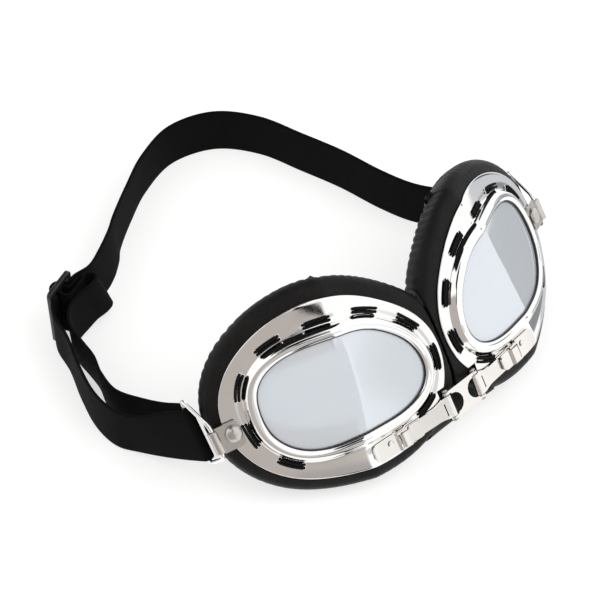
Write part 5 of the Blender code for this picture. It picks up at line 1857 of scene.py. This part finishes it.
@dataclass(frozen=True)
class Strap:
    """The elastic strap, one long woven band that is split where it crosses from body to body."""

    route: StrapRoute
    slider: Slider
    across: int = 14
    selvedge: Line = ((pi / 4, 0.4), (pi / 2, 1.0), (3 * pi / 4, 1.6))
    end_blend: float = 0.03
    eye_blend: float = 0.085
    slide_blend: float = 0.04
    wrap_skip: int = 3

    def ring(self, place: Vector, ruling: Vector, heading: Vector) -> list[Vector]:
        """Draws the band's section at one place: flat, with round selvedges.

        Args:
            place: the place.
            ruling: the way across the band.
            heading: the way along it.

        Returns:
            The section's points.
        """
        normal = ruling.cross(heading).normalized()
        thick = self.route.thickness / 2
        flat = self.route.width / 2 - thick
        half = [(x, thick) for x in np.linspace(-flat, flat, self.across)]
        half += [(flat + thick * sin(a), thick * cos(a)) for a, _ in self.selvedge]
        return [place + (ruling * x + normal * n) * way for way in (1, -1) for x, n in half]

    def ring_uv(self) -> list[float]:
        """Measures the way round the band's section.

        Returns:
            How far across the band each point lies, with one more at the end.
        """
        thick = self.route.thickness / 2
        flat = self.route.width / 2 - thick
        half = [*np.linspace(-flat, flat, self.across), *(flat + thick * way for _, way in self.selvedge)]
        return [*half, *(self.route.width + v for v in half), self.route.width + flat + 2 * thick]

    def piece(self, name: str, places: Sequence[Place], run: np.ndarray, low: int, high: int) -> Object:
        """Makes one length of the band.

        Args:
            name: the piece's name.
            places: the whole band's places and rulings.
            run: how far along the band each place is.
            low: the first place of this length.
            high: the last place of this length.

        Returns:
            The piece, not yet riding on anything.
        """
        rings, uv = [], []
        for i in range(low, high + 1):
            before, after = places[max(i - 1, 0)][0], places[min(i + 1, len(places) - 1)][0]
            rings.append([tuple(p) for p in self.ring(*places[i], (after - before).normalized())])
            uv.append([(run[i], v) for v in self.ring_uv()])
        mesh = grid_mesh(name, np.array(rings), caps=True, uv=np.array(uv))
        return mesh_object(name, mesh, ELASTIC, sharp=50.0)

    def build(self) -> list[Object]:
        """Makes every length of the strap, from the sewn end at the right loop to the end in the slider.

        Returns:
            The pieces, in that order.
        """
        route, beside = self.route, self.slider.places
        right_run, left_run, back_run, tail_run = (
            route.places(run) for run in (route.right_run, route.left_run, route.back_run, route.tail_run)
        )
        right_bar, left_bar = route.bar(Side.RIGHT, right_run[0][0]), route.bar(Side.LEFT, left_run[-1][0])
        wrap_right, wrap_left = route.wrap(right_bar), route.wrap(left_bar)
        weave, tail = self.slider.weave(), self.slider.tail()
        lead = route.smooth([wrap_right[0], *right_run, *beside(weave[:2])])
        left_part = route.smooth([*beside(weave[-2:]), *left_run, wrap_left[0]])
        returned = route.smooth([wrap_left[-1], *back_run, *tail_run, *beside(tail[:2])])
        places: list[Place] = []
        marks = []
        for part in (
            route.sewn_end(right_bar, lead), wrap_right[::-1][:-1], lead, beside(weave[2:-2]), left_part,
            wrap_left[1:-1], returned, beside(tail[2:]),
        ):
            marks.append(len(places))
            places += part
        run = run_along(np.array([tuple(place) for place, _ in places]))

        def reach_on(start: int, distance: float, step: int) -> int:
            """Finds a place further along the band.

            Args:
                start: the place to go from.
                distance: how far to go.
                step: 1 to go on, -1 to go back.

            Returns:
                The place.
            """
            i = start
            while abs(run[i] - run[start]) < distance:
                i += step
            return i

        lead_start, left_end, back_start = marks[2], marks[5] - 1, marks[6]
        right_one, right_two = (reach_on(lead_start, way, 1) for way in (self.end_blend, self.eye_blend))
        left_one, left_two = (reach_on(left_end, way, -1) for way in (self.end_blend, self.eye_blend))
        back_one = reach_on(back_start, self.end_blend, 1)
        back_two = back_start + route.steps * len(back_run)
        woven_start, woven_end = marks[3] - 1, marks[4] + 1
        lead_in = reach_on(woven_start, self.slide_blend, -1)
        right_wrapped, left_wrapped = lead_start + self.wrap_skip, left_end - self.wrap_skip
        made = []
        for name, low, high, bodies, *ends in (
            ("strap_right_end", 0, right_one, ("right_eye", "right_loop"), right_one, right_wrapped),
            ("strap_right_stretch", right_one, right_two, ("bridge", "right_eye"), right_two, right_one),
            ("strap_back", right_two, lead_in, ("bridge",)),
            ("strap_lead_in", lead_in, woven_start, ("bridge", "slider"), lead_in, woven_start),
            ("strap_woven", woven_start, woven_end, ("slider",)),
            ("strap_lead_out", woven_end, left_two, ("bridge", "slider"), left_two, woven_end),
            ("strap_left_stretch", left_two, left_one, ("bridge", "left_eye"), left_two, left_one),
            ("strap_left_end", left_one, back_one, ("left_eye", "left_loop"), left_one, left_wrapped),
            ("strap_return_stretch", back_one, back_two, ("bridge", "left_eye"), back_two, back_one),
            ("strap_slack_end", back_two, len(places) - 1, ("bridge", "slider"), back_two, marks[7]),
        ):
            obj = self.piece(name, places, run, low, high)
            if ends:
                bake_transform(obj)
            else:
                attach(obj, *bodies)
            made.append(obj)
        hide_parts("strap_band")
        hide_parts("strap_tail")
        return made


# The studio


DARK, DIM = (0.01, 0.01, 0.01), (0.02, 0.02, 0.02)


@dataclass(frozen=True)
class Card:
    """A light sheet or a dark card that metal and glass see: an ellipse in azimuth and elevation.

    Both are in degrees. Azimuth 0 looks along -Y from the goggles, and 90 along +X.
    """

    azimuth: float
    elevation: float
    half_width: float
    half_height: float
    softness: float
    colour: Colour
    lean: float = 0.0


@dataclass(frozen=True)
class Studio:
    """The pale floor, the soft light and the camera at the photograph's angle.

    A lamp is given as its name, its place, its size and its power.
    """

    camera_place: tuple[float, float, float] = (-0.34036, -0.36803, 0.54419)
    camera_forward: tuple[float, float, float] = (0.46883, 0.49350, -0.73257)
    camera_right: tuple[float, float, float] = (0.725, -0.689, 0.0)
    lens: float = 107.94
    sensor: float = 36.0
    floor: float = 4.0
    floor_colour: Colour = (0.86, 0.855, 0.85)
    floor_glow: Colour = (1.0, 0.998, 0.995)
    floor_glow_strength: float = 1.3
    ambient: float = 0.7
    surround: Colour = (1.06, 1.06, 1.06)
    lit_place: tuple[float, float, float] = (0, -0.05, 0.02)
    lamp_list: tuple[tuple[str, tuple[float, float, float], float, float], ...] = (
        ("key", (0.35, -0.9, 1.3), 1.2, 11.0),
        ("fill", (-1.2, 0.2, 1.0), 1.4, 5.0),
    )
    # The dim and dark cards below the horizon stand in for the shaded floor round the goggles, which glossy
    # rays don't see: painted shade, seen only in reflections.
    cards: tuple[Card, ...] = (
        Card(-64, 8, 46, 46, 0.16, (0.48, 0.44, 0.41)),
        Card(-12, 13.2, 19.4, 5.3, 0.06, (0.66, 0.67, 0.67)),
        Card(17.5, 9, 5.5, 6.5, 1.0, (0.66, 0.66, 0.66)),
        Card(-24, -6, 9, 14, 0.3, (0.4, 0.375, 0.365)),
        Card(-42, 51, 12, 12, 0.1, DARK),
        Card(-62, 69, 28, 12, 0.15, DARK),
        Card(-150, 69, 48, 14, 0.1, DARK),
        Card(170, 48, 40, 26, 0.08, DARK),
        Card(-190, 48, 40, 26, 0.08, DARK),
        Card(-138, -15, 12, 24, 0.2, DIM),
        Card(129, 8, 3.5, 24, 0.2, DIM),
        Card(-29.4, 28, 1.05, 12, 0.14, DARK, -0.389),
        Card(-14, -33, 2.8, 26, 0.2, (0.015, 0.015, 0.015), -0.467),
        Card(92, -24, 12, 30, 0.04, (0.6, 0.615, 0.64)),
        Card(81.5, -17.5, 4.6, 4.6, 0.1, (0.27, 0.275, 0.28)),
        Card(57, 17, 4, 10, 0.2, (0.06, 0.065, 0.08)),
        Card(88, -8, 3, 7, 0.4, (0.1, 0.11, 0.13)),
        Card(150, 8, 12, 20, 0.5, (0.3, 0.3, 0.31)),
    )

    def camera(self) -> None:
        """Sets the camera."""
        forward, right = Vector(self.camera_forward).normalized(), Vector(self.camera_right).normalized()
        data = bpy.data.cameras.new("camera")
        data.lens, data.sensor_width = self.lens, self.sensor
        data.clip_start, data.clip_end = 0.01, 50
        camera = linked("camera", data)
        turn = Matrix((right, right.cross(forward), -forward)).transposed().to_4x4()
        camera.matrix_world = Matrix.Translation(self.camera_place) @ turn
        bpy.context.scene.camera = camera

    def gloss(self, sheet: NodeSheet) -> NodeSocket:
        """Writes what metal and glass see: the pale surroundings with every card on them.

        Args:
            sheet: the world's node tree.

        Returns:
            Its colour.
        """
        place = sheet.add("ShaderNodeTexCoord").outputs["Generated"]
        x, y, z = sheet.add("ShaderNodeSeparateXYZ", {0: place}).outputs[:3]
        azimuth = sheet.maths("ARCTAN2", x, sheet.times(y, -1.0))
        elevation = sheet.maths("ARCSINE", z)
        seen: Any = self.surround
        for card in self.cards:
            raised = sheet.maths("SUBTRACT", elevation, radians(card.elevation))
            turned = sheet.maths("SUBTRACT", azimuth, radians(card.azimuth))
            turned = sheet.maths("SUBTRACT", turned, sheet.times(raised, card.lean))
            sides = []
            for away, half in ((turned, card.half_width), (raised, card.half_height)):
                part = sheet.maths("ABSOLUTE", sheet.maths("DIVIDE", away, radians(half)))
                sides.append(sheet.maths("POWER", part, 2.0))
            inside = sheet.spread(sheet.plus(*sides), 1.0, max(1.0 - 2 * card.softness, 0.0))
            seen = sheet.mix(inside, seen, card.colour)
        return seen

    def world(self) -> None:
        """Writes the studio's surroundings: white behind the object, soft patches in its gloss."""
        world = bpy.data.worlds.new("studio")
        bpy.context.scene.world = world
        world.use_nodes = True
        sheet = NodeSheet(world.node_tree)
        white = (1, 1, 1, 1)
        plain, gloss, clear = (
            sheet.out("ShaderNodeBackground", {0: colour, 1: strength})
            for colour, strength in ((white, self.ambient), (self.gloss(sheet), 1.0), (white, 1.0))
        )
        path = sheet.add("ShaderNodeLightPath").outputs
        first = sheet.mixed(path["Is Glossy Ray"], plain, gloss)
        seen_through = sheet.maths("MAXIMUM", path["Is Camera Ray"], path["Is Transmission Ray"])
        sheet.add("ShaderNodeOutputWorld", {0: sheet.mixed(seen_through, first, clear)})

    def ground(self) -> None:
        """Lays the floor, which stays white to the camera and keeps the object's shadow."""
        half = self.floor / 2
        mesh = bpy.data.meshes.new("floor")
        corners = [(-half, -half, 0), (half, -half, 0), (half, half, 0), (-half, half, 0)]
        mesh.from_pydata(corners, [], [(0, 1, 2, 3)])
        floor = linked("floor", mesh)
        material = bpy.data.materials.new("floor")
        material.use_nodes = True
        sheet = NodeSheet(material.node_tree)
        matt = sheet.out("ShaderNodeBsdfDiffuse", {"Color": (*self.floor_colour, 1)})
        glowing = {"Color": (*self.floor_glow, 1), "Strength": self.floor_glow_strength}
        to_camera = sheet.add("ShaderNodeLightPath").outputs["Is Camera Ray"]
        mixed = sheet.mixed(sheet.times(to_camera, 0.5), matt, sheet.out("ShaderNodeEmission", glowing))
        sheet.add("ShaderNodeOutputMaterial", {"Surface": mixed})
        mesh.materials.append(material)
        # Metal and glass don't see the floor; cards below the horizon carry its painted shade instead.
        floor.visible_glossy = False

    def lamps(self) -> None:
        """Hangs the large soft lamps."""
        for name, place, size, power in self.lamp_list:
            data = bpy.data.lights.new(name, "AREA")
            data.shape, data.size, data.energy = "SQUARE", size, power
            lamp = linked(name, data)
            lamp.location = place
            lamp.rotation_mode = "QUATERNION"
            lamp.rotation_quaternion = (Vector(self.lit_place) - Vector(place)).to_track_quat("-Z", "Y")
            lamp.visible_glossy = False

    def build(self) -> None:
        """Sets up the whole studio."""
        for step in (self.camera, self.world, self.ground, self.lamps):
            step()
        bpy.context.scene.view_settings.view_transform = "Standard"


def report(*made: Object) -> None:
    """Logs each new piece with its number of faces."""
    for obj in made:
        LOG.info("%s: %d faces", obj.name, len(obj.data.polygons))


def main() -> None:
    """Builds the studio and every piece."""
    logging.basicConfig(level=logging.INFO, format="%(message)s")
    Studio().build()
    cords, eyelets, stitches = cord_recipe(), eyelet_recipe(), stitch_recipe()
    bridge, lens, hardware = Bridge(), Lens(), Hardware()
    halves = [bridge.web(side) for side in Side]
    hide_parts("nose_piece")
    report(*bridge.hardware(), *halves, bridge.seam(stitches))
    for side in Side:
        report(EyeFrame().build(side), lens.build(side), lens.build_ring(side), Cushion().build(side))
        report(*Lacing().build(side, cords, eyelets))
        report(*hardware.copies(side), hardware.rivet(side), hardware.loop(side, cords))
    slider = Slider(StrapRoute())
    report(*Strap(slider.route, slider).build(), slider.build())
    bpy.context.view_layer.update()


if __name__ == "__main__":
    main()
